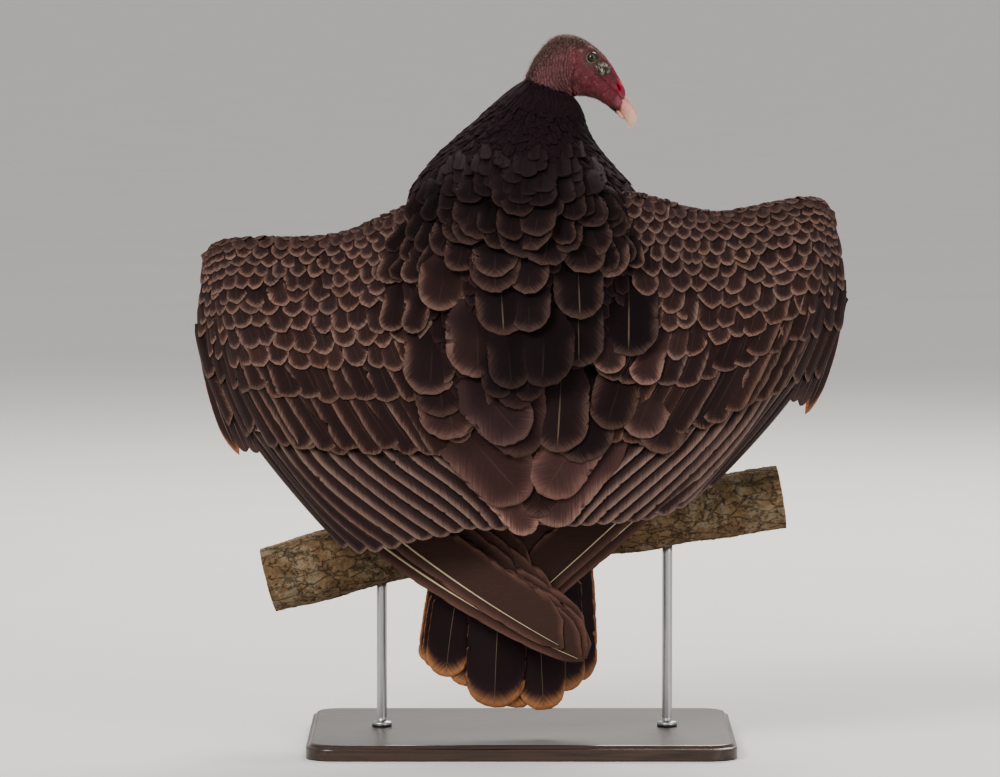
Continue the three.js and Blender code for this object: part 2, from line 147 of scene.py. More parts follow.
def grid_faces(rows, columns, wrap=False):
    """Quads of a rows x columns grid of vertices; wrap joins the last column to the first."""
    r, c = np.meshgrid(np.arange(rows - 1), np.arange(columns if wrap else columns - 1), indexing="ij")
    a = (r * columns + c).ravel()
    b = (r * columns + (c + 1) % columns).ravel()
    return np.stack([a, b, b + columns, a + columns], 1)


def tube(rings):
    """Vertices and faces of rings [R, S, 3], closed by a fan at each end."""
    rows, sides = rings.shape[:2]
    verts = np.concatenate([rings.reshape(-1, 3), rings[0].mean(0)[None], rings[-1].mean(0)[None]])
    i = np.arange(sides)
    j = (i + 1) % sides
    head = np.stack([j, i, np.full(sides, rows * sides)], 1)
    tail = np.stack([(rows - 1) * sides + i, (rows - 1) * sides + j, np.full(sides, rows * sides + 1)], 1)
    return verts, grid_faces(rows, sides, True), np.concatenate([head, tail])


def outward(obj):
    """Turns a closed mesh's faces outwards."""
    bm = bmesh.new()
    bm.from_mesh(obj.data)
    bmesh.ops.recalc_face_normals(bm, faces=bm.faces)
    bm.to_mesh(obj.data)
    bm.free()
    return obj


# ------------------------------------------------------------------ camera, light and backdrop

VIEW_WIDTH = 0.895      # metres across the picture at the bird
CAMERA_REACH = 6.0
CAMERA_LIFT = math.radians(4.0)
AIM = Vector((-0.019, 0.0, 0.318))

camera_data = bpy.data.cameras.new("camera")
camera = bpy.data.objects.new("camera", camera_data)
bpy.context.scene.collection.objects.link(camera)
camera_data.lens = 36.0 * CAMERA_REACH / VIEW_WIDTH
camera_data.clip_end = 400
back = Vector((0, -math.cos(CAMERA_LIFT), math.sin(CAMERA_LIFT)))
camera.location = AIM + back * CAMERA_REACH
camera.rotation_euler = back.to_track_quat("Z", "Y").to_euler()
bpy.context.scene.camera = camera


def lamp(name, place, size, power, colour=(1, 1, 1)):
    data = bpy.data.lights.new(name, "AREA")
    data.size = size
    data.energy = power
    data.color = colour
    obj = bpy.data.objects.new(name, data)
    obj.location = place
    obj.rotation_euler = (Vector(place) - Vector((0, 0, 0.35))).to_track_quat("Z", "Y").to_euler()
    bpy.context.scene.collection.objects.link(obj)


lamp("key", (-1.9, -2.6, 2.6), 1.6, 95, (1.0, 0.97, 0.93))
lamp("fill", (2.6, -2.4, 1.3), 2.2, 34, (0.95, 0.97, 1.0))
lamp("rim", (0.6, 2.6, 2.7), 1.8, 90, (1.0, 0.95, 0.88))

world = bpy.data.worlds.new("world")
bpy.context.scene.world = world
world.use_nodes = True
world.node_tree.nodes["Background"].inputs["Color"].default_value = (0.86, 0.85, 0.83, 1)
world.node_tree.nodes["Background"].inputs["Strength"].default_value = 0.62
bpy.context.scene.view_settings.view_transform = "AgX"
bpy.context.scene.view_settings.look = "AgX - Medium High Contrast"


# ------------------------------------------------------------------ materials

class Nodes:
    """A material's node tree with short calls for the nodes used here."""

    def __init__(self, name):
        self.material = bpy.data.materials.new(name)
        self.material.use_nodes = True
        self.tree = self.material.node_tree
        self.shader = self.tree.nodes["Principled BSDF"]

    def link(self, value, socket):
        if isinstance(value, bpy.types.NodeSocket):
            self.tree.links.new(value, socket)
        elif isinstance(value, (tuple, list, np.ndarray)):
            socket.default_value = tuple(value) + (1,) * (len(socket.default_value) - len(value))
        else:
            socket.default_value = value

    def put(self, **values):
        for key, value in values.items():
            self.link(value, self.shader.inputs[key.replace("_", " ")])

    def math(self, operation, a, b=0.0, clamp=False):
        node = self.tree.nodes.new("ShaderNodeMath")
        node.operation = operation
        node.use_clamp = clamp
        self.link(a, node.inputs[0])
        self.link(b, node.inputs[1])
        return node.outputs[0]

    def mix(self, factor, a, b, blend="MIX"):
        node = self.tree.nodes.new("ShaderNodeMix")
        node.data_type = "RGBA"
        node.blend_type = blend
        self.link(factor, node.inputs[0])
        self.link(a, node.inputs[6])
        self.link(b, node.inputs[7])
        return node.outputs[2]

    def times(self, a, b):
        return self.math("MULTIPLY", a, b)

    def plus(self, a, b):
        return self.math("ADD", a, b)

    def minus(self, a, b):
        return self.math("SUBTRACT", a, b)

    def shaded(self, colour, tone):
        """A colour made lighter or darker by a tone round 1."""
        return self.mix(1.0, colour, self.vector(tone, tone, tone), "MULTIPLY")

    def ramp(self, value, low, high, to_low=0.0, to_high=1.0):
        node = self.tree.nodes.new("ShaderNodeMapRange")
        node.interpolation_type = "SMOOTHSTEP"
        for key, v in (("From Min", low), ("From Max", high), ("To Min", to_low), ("To Max", to_high)):
            node.inputs[key].default_value = v
        self.link(value, node.inputs["Value"])
        return node.outputs["Result"]

    def attribute(self, name, colour=False):
        node = self.tree.nodes.new("ShaderNodeAttribute")
        node.attribute_name = name
        return node.outputs["Color" if colour else "Fac"]

    def uv(self, name):
        node = self.tree.nodes.new("ShaderNodeUVMap")
        node.uv_map = name
        return self.split(node.outputs[0])[:2]

    def split(self, vector):
        node = self.tree.nodes.new("ShaderNodeSeparateXYZ")
        self.link(vector, node.inputs[0])
        return [node.outputs[k] for k in range(3)]

    def position(self):
        return self.tree.nodes.new("ShaderNodeTexCoord").outputs["Object"]

    def stretched(self, vector, x, y, z):
        """A place measured in steps of its own along each axis."""
        return self.vector(*(self.times(part, step) for part, step in zip(self.split(vector), (x, y, z))))

    def vector(self, x, y, z=0.0):
        node = self.tree.nodes.new("ShaderNodeCombineXYZ")
        for k, v in enumerate((x, y, z)):
            self.link(v, node.inputs[k])
        return node.outputs[0]

    def noise(self, scale, where=None, detail=4.0, rough=0.6, distort=0.0):
        node = self.tree.nodes.new("ShaderNodeTexNoise")
        self.link(where if where is not None else self.position(), node.inputs["Vector"])
        node.inputs["Scale"].default_value = scale
        node.inputs["Detail"].default_value = detail
        node.inputs["Roughness"].default_value = rough
        node.inputs["Distortion"].default_value = distort
        return node.outputs["Fac"]

    def cells(self, scale, where=None, feature="F1", output="Distance"):
        node = self.tree.nodes.new("ShaderNodeTexVoronoi")
        node.feature = feature
        self.link(where if where is not None else self.position(), node.inputs["Vector"])
        node.inputs["Scale"].default_value = scale
        return node.outputs[output]

    def bump(self, height, strength, distance, before=None):
        node = self.tree.nodes.new("ShaderNodeBump")
        node.inputs["Strength"].default_value = strength
        node.inputs["Distance"].default_value = distance
        self.link(height, node.inputs["Height"])
        if before is not None:
            self.link(before, node.inputs["Normal"])
        return node.outputs[0]


SILVER = (0.29, 0.27, 0.26)


def plumage_material(name, rough, sheen, fraying=2.3, contrast=0.18):
    """Feathers: a pale rim round each vane (on the tail, painted light shining through the edge), painted
    light and shade from the edge to the middle, a fine shaft line, and streaks along the barbs.
    """
    n = Nodes(name)
    across, along = n.uv("Vane")
    side = n.math("ABSOLUTE", n.minus(n.times(across, 2.0), 1.0))
    barb = n.attribute("barb")
    seed = n.attribute("seed")
    fray = n.noise(1.0, n.vector(n.times(side, 0.8), n.times(barb, 0.62), n.times(seed, 40)), 5, 0.75)
    streak = n.noise(1.0, n.vector(n.times(side, 1.6), n.times(barb, 0.7), n.times(seed, 90)), 5, 0.72)
    edge = n.math("MINIMUM", n.attribute("edge_side"), n.attribute("edge_tip"))
    edge = n.plus(edge, n.times(n.minus(fray, 0.5), fraying))
    rim = n.ramp(edge, -0.35, 1.2, 1.0, 0.0)
    # lighter at each vane's edge and darker towards its middle: partly the feather's own colour, partly
    # painted light, a glow along the edge and shade where the next feather lies over it
    base = n.shaded(n.attribute("coat", True), n.ramp(edge, 0.0, 2.2, 1.35, 0.62))
    base = n.mix(n.times(rim, n.attribute("fringe")), base, n.attribute("rim", True))
    base = n.shaded(base, n.ramp(streak, 0.3, 0.7, 1 - contrast, 1 + contrast))
    # flight feathers are silvery below, and their shaft line fades towards the tip
    silver = n.times(n.attribute("under"), n.attribute("pale"))
    base = n.mix(n.times(silver, 0.8), base, SILVER)
    shaft = n.times(n.ramp(side, 0.008, 0.032, 1.0, 0.0), n.attribute("shaft"))
    base = n.mix(n.times(shaft, n.ramp(along, 0.75, 0.97, 0.6, 0.0)), base, srgb(176, 154, 132))
    ridges = n.times(n.math("SINE", n.times(barb, 6.0)), 0.25)
    height = n.plus(ridges, n.times(streak, 1.4))
    n.put(Base_Color=base, Roughness=n.ramp(streak, 0.2, 0.8, rough - 0.08, rough + 0.1))
    n.put(Normal=n.bump(height, 0.5, 0.0006))
    n.put(Sheen_Weight=sheen, Sheen_Roughness=0.45, Specular_IOR_Level=0.17)
    n.put(Sheen_Tint=(0.9, 0.62, 0.62), Specular_Tint=(1.0, 0.78, 0.84))
    return n.material


# ------------------------------------------------------------------ measures shared with the solids

HEAD_Y = 25.0
WRISTS = {
    "right": dict(
        side=1,
        keys=[
            [[8, -80, 500], [12, -124, 350], [7, -115, 204]],
            [[98, -34, 494], [106, -112, 310], [48, -116, 207]],
            [[170, 0, 477], [194, -100, 312], [100, -108, 212]],
            [[256, 34, 488], [252, -66, 342], [165, -84, 238]],
            [[276, 44, 474], [304, 50, 385], [258, 22, 297]],
        ],
        hand=[
            [[272, 34, 440], [104, -66, 294], [-27, -82, 127]],
            [[287, 40, 388], [180, -58, 260], [-13, -80, 113]],
        ],
        # where each blade's shaft lies across the hand, how much shorter it is, and its depth
        blades=[
            (0.02, 0.10, 3.4), (0.3, 0.06, 8.6), (0.52, 0.02, 6.8), (0.95, 0.01, 5.0),
            (0.74, 0.012, 1.6),
        ],
    ),
    "left": dict(
        side=-1,
        keys=[
            [[8, -80, 500], [14, -124, 340], [-2, -115, 197]],
            [[100, -34, 484], [104, -112, 300], [40, -116, 203]],
            [[168, 0, 457], [188, -100, 290], [95, -108, 192]],
            [[266, 34, 450], [242, -66, 292], [160, -84, 184]],
            [[287, 44, 436], [306, 50, 340], [263, 22, 262]],
        ],
        hand=[
            [[276, 34, 390], [76, -86, 222], [-57, -103, 92]],
            [[290, 40, 336], [188, -78, 168], [-54, -101, 80]],
        ],
        blades=[
            (0.08, 0.2, 9.4), (0.3, 0.10, 7.8), (0.45, 0.0, 6.2), (0.62, 0.0, 4.6),
            (0.84, 0.004, 3.0), (0.64, 0.05, 1.2),
        ],
    ),
}
COVERT_END = [0.6, 0.7, 0.65, 0.62, 0.8]
ARM_THICKNESS = [9, 26, 26, 20, 10]
TAIL_LINES = [
    [[-28, -56, 296], [-92, -50, 180], [-97, -52, 66]],
    [[-12, -60, 300], [-44, -62, 180], [-56, -66, 40]],
    [[0, -60, 302], [-16, -66, 180], [-16, -69, 35]],
    [[12, -60, 300], [14, -62, 180], [22, -65, 35]],
    [[28, -56, 296], [70, -50, 180], [62, -52, 58]],
]


class Sheet:
    """A curved sheet through key lines; u picks the line and t runs along it from 0 to 1."""

    def __init__(self, keys, side):
        self.keys = np.asarray(keys, float)
        self.side = side

    def point(self, u, t):
        u, t = np.broadcast_arrays(np.asarray(u, float), np.asarray(t, float))
        k = through(self.keys, u)
        t = t[..., None]
        p = k[..., 0, :] * (1 - t) ** 2 + k[..., 1, :] * 2 * t * (1 - t) + k[..., 2, :] * t * t
        return p * np.array([self.side, 1, 1])

    def frame(self, u, t):
        """Point and dorsal normal; the dorsal side faces -Y."""
        e = 0.01
        along = self.point(u, t + e) - self.point(u, t - e)
        across = self.point(u + e, t) - self.point(u - e, t)
        normal = unit(np.cross(along, across))
        return self.point(u, t), np.where(normal[..., 1:2] > 0, -normal, normal)


def arm_frame(sheet, u, q):
    """Point and outward normal on a wing's arm.

    q runs from 0 at the leading edge to 1 where the coverts end on the back of the wing, and to -1 on
    its underside.
    """
    share = np.abs(q)
    at, normal = sheet.frame(u, through(COVERT_END, u) * share)
    root = np.sqrt(share)
    swell = 1.9 * root * (1 - share) + 0.22 * root
    thick = np.maximum(through(ARM_THICKNESS, u) * swell, 3.2 * smooth(0, 0.1, share))
    under = (q < 0)[..., None]
    lead = sheet.point(u, -0.004) - sheet.point(u, 0.004)
    blend = (1 - smooth(0, 0.06, share))[..., None]
    out = unit(np.where(under, -normal, normal) * (1 - blend) + unit(lead) * blend)
    return at - np.where(under, normal * thick[..., None], 0), out


# ------------------------------------------------------------------ feathers

PATCH = 0.003  # size of one feather's patch on the coat's unwrap
FEATHER_NUMBERS = (
    "left", "right", "tip", "root", "camber", "roll", "thick", "ragged", "wave", "fringe", "shaft", "pale",
    "band", "band_tip",
)


def per_feather(value, n):
    return np.broadcast_to(np.asarray(value, float), (n,))


def feather_piece(f, rows, columns):
    """Closed two-sided vanes joined in one mesh.

    f holds arrays for N feathers: spine and normal [N, S, 3]; coat and rim colours; home, the place on the
    unwrap; and one number for all or for each under the names of FEATHER_NUMBERS.
    """
    n, stations = f["spine"].shape[:2]
    f.setdefault("band_tip", f["band"])
    g = {key: per_feather(f[key], n) for key in FEATHER_NUMBERS}
    length = np.linalg.norm(np.diff(f["spine"], axis=1), axis=2).sum(1)
    x = np.sin(np.linspace(-np.pi / 2, np.pi / 2, columns))
    s = np.linspace(0, 1, rows)
    rough = g["ragged"]

    # how far along the shaft each vertex lies: the last rows bend round the tip
    point = per_feather(f.get("point", 0.0), n)[:, None]
    arc = (1 - point) * (1 - np.sqrt(1 - 0.995 * x**2))[None] + point * (np.abs(x) ** 1.35)[None]
    reach = 1 - (g["tip"] / length)[:, None] * arc
    worn = rng.normal(size=(n, 1, columns)) * (rough * g["tip"] / length)[:, None, None] * 0.5
    at = np.clip(s[None, :, None] * reach[:, None] + worn * s[None, :, None] ** 8, 0, 1)
    k = at * (stations - 1)
    i = np.clip(np.floor(k).astype(int), 0, stations - 2)
    t = (k - i)[..., None]
    pick = np.arange(n)[:, None, None]

    def pull(a):
        return a[pick, i] * (1 - t) + a[pick, i + 1] * t

    def wide(key):
        return g[key][:, None, None]

    def round_vane(a):
        """The upper side's values, then the same for the lower side on the way back."""
        return np.concatenate([a, a[:, :, -2:0:-1]], 2)

    centre = pull(f["spine"])
    normal = unit(pull(f["normal"]))
    across = unit(np.cross(pull(unit(np.gradient(f["spine"], axis=1))), normal))
    full = np.broadcast_to(x, at.shape)
    half = np.where(full < 0, wide("left"), wide("right"))
    half = half * (wide("root") + (1 - wide("root")) * smooth(0, 0.32, at))
    nick = rng.normal(size=(n, rows, 2)) * (0.6 + 1.8 * (rng.random((n, rows, 2)) < 0.12))
    nick = np.where(full < 0, nick[:, :, :1], nick[:, :, 1:]) * x[None, None] ** 6
    half = half * (1 - np.abs(nick) * rough[:, None, None])
    phase = rng.random((n, 1, 1)) * 6.3
    swell = np.sin(phase + at * 7.0) * x**2 + np.sin(phase * 3 + at * 5.0) * 0.5 * x
    share = half / np.maximum(wide("left"), wide("right"))
    height = wide("roll") * x - wide("camber") * (x * share) ** 2 + swell * wide("wave")
    flesh = 0.5 * wide("thick") * np.sqrt(1 - 0.97 * x**2) * (1 - 0.5 * s[None, :, None] ** 3)
    flat = centre + across * (x * half)[..., None]
    top = flat + normal * (height + flesh)[..., None]
    low = flat + normal * (height - flesh)[..., None]
    ring = np.concatenate([top, low[:, :, -2:0:-1]], 2)

    # faces: a band of quads round each row, and a flat cap of quads and four triangles at both ends
    size = 2 * columns - 2
    last = columns - 1
    end = (rows - 1) * size
    c = np.arange(1, columns - 2)
    bottom = size - c
    root_cap = np.stack([c + 1, c, bottom, bottom - 1], 1)
    tip_cap = np.stack([c, c + 1, bottom - 1, bottom], 1) + end
    quads = np.concatenate([grid_faces(rows, size, True), root_cap, tip_cap])
    tris = np.array([
        [1, 0, size - 1], [last, last - 1, last + 1],
        [end, end + 1, end + size - 1], [end + last - 1, end + last, end + last + 1],
    ])
    step = np.arange(n)[:, None, None] * rows * size

    def each(a):
        return np.repeat(a, rows * size, 0)

    across01 = round_vane((full + 1) / 2)
    along01 = np.broadcast_to(s[None, :, None], across01.shape).ravel()
    barb = round_vane(at * length[:, None, None] - np.abs(full) * half * 1.15)
    edge_side = round_vane((1 - np.abs(full)) * half / wide("band"))
    to_tip = (1 - s[None, :, None]) * reach[:, None] * length[:, None, None]
    edge_tip = round_vane(to_tip / wide("band_tip"))
    below = np.zeros(size)
    below[columns:] = 1
    bare = f.get("bare", 1.0)
    grown = smooth(0.35 * bare, 0.6 * bare, along01)
    points = {
        "coat": each(f["coat"]) * (0.7 + 0.3 * grown)[:, None], "rim": each(f["rim"]),
        "fringe": each(g["fringe"]) * grown, "shaft": each(g["shaft"]) * grown,
        "seed": each(rng.random(n)), "barb": barb.ravel(),
        "under": np.tile(below, n * rows), "pale": each(g["pale"]),
        "edge_side": edge_side.ravel(), "edge_tip": edge_tip.ravel(),
    }
    vane = np.stack([across01.ravel(), along01], 1)
    uvs = {"Vane": vane, "OFBake": each(f["home"]) + PATCH * (vane - 0.5)}
    return dict(verts=ring.reshape(-1, 3), quads=(quads[None] + step).reshape(-1, 4),
                tris=(tris[None] + step).reshape(-1, 3), points=points, uvs=uvs)


def shafts(f, radius, colour, sides=6, rows=30, lift=0.2):
    """Raised tapering shafts along the spines of f; colour is one for all or one for each."""
    n, stations = f["spine"].shape[:2]
    colour = np.broadcast_to(colour, (n, 3))
    s = np.linspace(0, 0.985, rows)
    k = s * (stations - 1)
    i = np.clip(np.floor(k).astype(int), 0, stations - 2)
    t = (k - i)[None, :, None]
    centre = f["spine"][:, i] * (1 - t) + f["spine"][:, i + 1] * t
    normal = unit(f["normal"][:, i] * (1 - t) + f["normal"][:, i + 1] * t)
    across = unit(np.cross(unit(np.gradient(centre, axis=1)), normal))
    r = per_feather(radius, n)[:, None, None, None] * (1 - 0.86 * s[None, :, None, None] ** 1.3)
    angle = (np.arange(sides) * 2 * np.pi / sides)[:, None]
    ring = (centre + normal * lift)[:, :, None] + across[:, :, None] * (np.cos(angle) * r) \
        + normal[:, :, None] * (np.sin(angle) * r * 0.9)
    # the ring turns the other way round than the vane's, so its faces are flipped
    quads = grid_faces(rows, sides, True)[:, ::-1]
    head = np.stack([np.zeros(sides - 2, int), np.arange(1, sides - 1), np.arange(2, sides)], 1)
    tris = np.concatenate([head, head[:, ::-1] + (rows - 1) * sides])
    step = np.arange(n)[:, None, None] * rows * sides

    def each(a):
        return np.repeat(a, rows * sides, 0)

    along = np.tile(np.repeat(s, sides), n)
    zero = np.zeros(len(along))
    points = {
        "coat": each(colour), "rim": each(colour), "fringe": zero, "shaft": zero, "seed": each(rng.random(n)),
        "barb": along * 40, "under": zero, "pale": zero, "edge_side": zero + 9, "edge_tip": zero + 9,
    }
    home = each(f["home"]) + PATCH * np.stack([zero, along - 0.5], 1)
    uvs = {"Vane": np.stack([zero + 0.5, along * 0.6], 1), "OFBake": home}
    return dict(verts=ring.reshape(-1, 3), quads=(quads[None] + step).reshape(-1, 4),
                tris=(tris[None] + step).reshape(-1, 3), points=points, uvs=uvs)


def coat_object(name, *parts):
    """One mesh object from several lots of feathers."""
    offset = np.cumsum([0] + [len(p["verts"]) for p in parts[:-1]])

    def together(kind):
        return {key: np.concatenate([p[kind][key] for p in parts]) for key in parts[0][kind]}

    verts = np.concatenate([p["verts"] for p in parts])
    quads, tris = (np.concatenate([p[kind] + o for p, o in zip(parts, offset)]) for kind in ("quads", "tris"))
    return new_object(name, verts, quads, tris, together("points"), together("uvs"))


def tinted(colour, n, spread=0.10):
    """n colours round one, lighter and darker, warmer and cooler."""
    tone = np.exp(rng.normal(size=(n, 1)) * spread)
    warm = 1 + rng.normal(size=(n, 1)) * spread * 0.35 * np.array([[1, 0, -1]])
    return np.clip(np.asarray(colour)[None] * tone * warm, 0, 1)


BLACK = srgb(32, 24, 27)
DARK = srgb(54, 38, 37)
BROWN = srgb(72, 51, 47)
EDGE = srgb(146, 119, 108)
STRAW = srgb(232, 214, 180)


# ------------------------------------------------------------------ wings

ROW_SHARES = [1.0, 0.735, 0.60, 0.505, 0.425, 0.355, 0.29, 0.233, 0.182, 0.137, 0.097, 0.062, 0.03]
ROW_SPACING = [16.5, 18.5, 18.5, 18.5, 18.5, 18.5, 18.5, 14, 14, 14, 14, 11, 11]
STATIONS = 14


def row_places(sheet, spacing, start, stop, phase, loose):
    """Places u at equal steps in mm along the middle of the arm, jittered; rows of one spacing share them."""
    u = np.linspace(start, stop, 200)
    p, _ = arm_frame(sheet, u, np.full_like(u, 0.5))
    run = np.concatenate([[0], np.cumsum(np.linalg.norm(np.diff(p, axis=0), axis=1))])
    at = np.arange(spacing * phase, run[-1], spacing)
    at = at + rng.normal(size=len(at)) * spacing * 0.1 * loose
    return np.interp(at, run, u)


UNDER_SHARES = [0.98, 0.8, 0.62, 0.46, 0.32, 0.2, 0.11]
ROW_SLANTS = [0.6, 0.45, 0.3, 0.2, 0.1]
# where the mantle hides the coverts' tips, seen from behind: left, right, low and high
UNDER_MANTLE = [(-84, 58, 327, 999), (-27, 31, 240, 999), (30, 60, 262, 999), (58, 103, 352, 430)]


def hidden(p):
    """Which of the tips lie under the mantle."""
    found = np.zeros(len(p), bool)
    for left, right, low, high in UNDER_MANTLE:
        found |= (p[:, 0] > left) & (p[:, 0] < right) & (p[:, 2] > low) & (p[:, 2] < high)
    return found


def covert_rows(sheet, under=False):
    """Rows of overlapping coverts over one side of an arm."""
    lots = []
    shares = UNDER_SHARES if under else ROW_SHARES
    for row, share in enumerate(shares):
        spacing = ROW_SPACING[row] * (1.5 if under else 1.0)
        loose = 0.35 + 0.65 * smooth(0.08, 0.3, share)
        start, stop = 0.05 if row < 4 else 0.35, 3.86 if under else 3.93
        u = row_places(sheet, spacing, start, stop, 0.55 if row % 2 else 0.05, loose)
        if not under:
            u = u[~hidden(sheet.point(u, through(COVERT_END, u) * share))]
        n = len(u)
        line = sheet.point(u, through(COVERT_END, u)) - sheet.point(u, 0 * u)
        longest = np.linalg.norm(line, axis=1) * 1.06
        exposed = (share - (shares[row + 1] if row + 1 < len(shares) else 0.0)) * longest
        room = np.maximum((share + (-0.03 if under else 0.05)) * longest, 6 if under else 9)
        length = np.minimum(np.maximum(exposed * 1.95, 15) + 8, room)
        tip_at = share + rng.normal(size=n) * 0.011 * loose
        s = np.linspace(0, 1, STATIONS)
        q = tip_at[:, None] - (length / longest)[:, None] * (1 - s)[None]
        lean = rng.normal(size=n)[:, None] * 0.05 * loose * (s - 0.4)[None]
        if row < len(ROW_SLANTS) and not under:
            slant = (2.1 - 0.32 * u) * ROW_SLANTS[row]
            lean = lean + (slant * length / longest * 0.9)[:, None] * (1 - s)[None]
        p, normal = arm_frame(sheet, np.clip(u[:, None] + lean, 0.02, 4), -q if under else q)
        rise = (0.6 + 2.6 * s**1.4)[None] + rng.normal(size=(n, 1)) * 0.25 * s[None]
        p = p + normal * (rise * (0.8 if under else 1.0))[..., None]
        wide = spacing * (0.82 if row < 2 else 0.7) * (1 + rng.normal(size=n) * 0.1 * loose)
        wide = wide * (1 - 0.2 * smooth(2.9, 3.7, u))
        tone = smooth(0.1, 0.7, share)
        coat = tinted(DARK, n, 0.13) * (1 - tone) * 0.95 + tinted(BROWN, n, 0.12) * tone * 0.72
        rim = tinted(EDGE, n, 0.1) * (0.85 + 0.1 * tone)
        if row < 2:
            coat, rim = coat * 0.66, rim * 0.75
        if under:
            coat, rim = tinted(BLACK, n, 0.12) * 1.2, tinted(DARK, n, 0.1)
        out = -sheet.side * (-1 if under else 1)
        across = 0.03 + u / 4 * 0.94
        down = 0.02 + (0.5 if under else 0) + share * 0.45
        lots.append(dict(
            spine=p, normal=normal, left=wide, right=wide, tip=wide * (1.1 if row < 2 else 1.25), root=0.5,
            camber=1.0 + 3.0 * smooth(2.5, 3.5, u), point=0.15 if row < 2 else 0.55,
            roll=out * (1.1 if row < 2 else 0.55), thick=0.35, ragged=0.085, wave=0.25, coat=coat, rim=rim,
            band=4.8 if row < 3 else 5.2, fringe=0.4 if under or row > 10 else 0.85, shaft=0.1, pale=0.0,
            home=np.stack([across, np.full(n, down)], 1),
        ))
    return lots


def joined(lots):
    """Several lots of feathers as one; a single number in a lot stands for each of its feathers."""
    sizes = [len(lot["spine"]) for lot in lots]

    def each(value, n):
        listed = isinstance(value, np.ndarray) and value.ndim and len(value) == n
        return value if listed else np.full(n, float(value))

    return {key: np.concatenate([each(lot[key], n) for lot, n in zip(lots, sizes)]) for key in lots[0]}


def flight_lot(sheet, u, start, end, sink, inner, outer, tip, coat, rim, home, lift=2.2, wander=0.0, skew=0.0,
               **changes):
    """Long feathers along the lines u of a sheet, from share start to share end of each line.

    inner and outer are the widths in mm of the vanes on either side of the shaft, sink is the depth under
    the sheet, and changes are values that differ from those of the other flight feathers.
    """
    n = len(u)
    s = np.linspace(0, 1, 30)
    t = start[:, None] + (end - start)[:, None] * s[None]
    uu = u[:, None] + wander * rng.normal(size=n)[:, None] * (s**2)[None]
    uu = uu + per_feather(skew, n)[:, None] * ((1 - s) ** 1.15)[None]
    p, normal = sheet.frame(uu, t)
    height = -per_feather(sink, n)[:, None] - 2.5 * (1 - s[None]) ** 3
    height = height + rng.normal(size=(n, 1)) * 0.15 * s[None]
    p = p + normal * height[..., None]
    out = -sheet.side
    inner, outer = per_feather(inner, n), per_feather(outer, n)
    lot = dict(
        spine=p, normal=normal, left=outer if out < 0 else inner, right=inner if out < 0 else outer,
        tip=tip, root=0.42, camber=1.0, roll=out * lift, thick=0.7, ragged=0.035, wave=0.2,
        coat=coat, rim=rim, fringe=0.9, shaft=0.0, pale=1.0, band=3.6, home=home, bare=0.2,
    )
    lot.update(changes)
    return lot


def side_by_side(across, down):
    """Places on the unwrap in one row."""
    return np.stack([across, np.full(len(across), down)], 1)


def build_secondaries(sheet):
    count = 12
    place = (np.arange(count) + 0.4) / count
    u = 3.1 * place**0.92
    end = 1 - 0.012 * rng.random(count)
    skew = 1.2 - 0.38 * place
    start = through(COVERT_END, u + skew) - 0.1
    inner = 25 - 13 * smooth(0.9, 2.5, u)
    coat, rim = tinted(srgb(48, 34, 33), count, 0.07), tinted(srgb(152, 128, 117), count, 0.06)
    return flight_lot(
        sheet, u, start, end, 1.8, inner, 11.5, 15, coat, rim, side_by_side(0.05 + 0.9 * place, 0.25),
        lift=3.3, wander=0.004, skew=skew, camber=1.5 + 5.5 * smooth(0.4, 2.8, u), fringe=0.72,
        band=5.6, band_tip=5.0,
    )


def build_alula(sheet):
    """Three feathers of the thumb; the last one has a rusty tip."""
    u = np.array([3.6, 3.78, 3.93])
    end = np.array([0.82, 0.9, 0.995])
    sink = np.array([1.6, 1.0, 0.2])
    tip = np.array([12, 14, 30])
    rim = np.array([BROWN, BROWN, srgb(176, 116, 78)])
    home = side_by_side(0.1 + 0.1 * np.arange(3), 0.9)
    return flight_lot(
        sheet, u, np.full(3, 0.35), end, sink, 13, 9, tip, tinted(DARK, 3, 0.06), rim, home,
        band=1.2, band_tip=10.0, root=0.12, point=np.array([0.2, 0.3, 0.6]),
    )


def build_primaries(hand, blades):
    u, short, sink = np.array(blades).T
    count = len(u)
    coat, rim = tinted(srgb(80, 58, 51), count, 0.06), tinted(srgb(122, 96, 84), count, 0.05)
    home = side_by_side(0.05 + 0.15 * np.arange(count), 0.6)
    return flight_lot(
        hand, u, np.full(count, 0.03), 1 - short, sink, 36, 9.5, 46, coat, rim, home, lift=0.3,
        camber=0.3, wave=0.08, thick=0.5, ragged=0.11, point=0.35, fringe=0.3,
    )


def build_knuckles(hand):
    """Small coverts over the roots of the primaries, on the underside of the wrist."""
    u = np.linspace(-0.04, 1.0, 9)
    count = len(u)
    end = 0.17 + 0.03 * rng.random(count)
    sink = 10.8 - 4.6 * smooth(0.25, 1, u)
    coat, rim = tinted(BLACK, count, 0.1) * 1.3, tinted(DARK, count, 0.08)
    home = side_by_side(0.1 + 0.8 * u, 0.97)
    return flight_lot(
        hand, u, np.full(count, -0.04), end, sink, 12, 11, 16, coat, rim, home, lift=0.8, pale=0.0,
    )


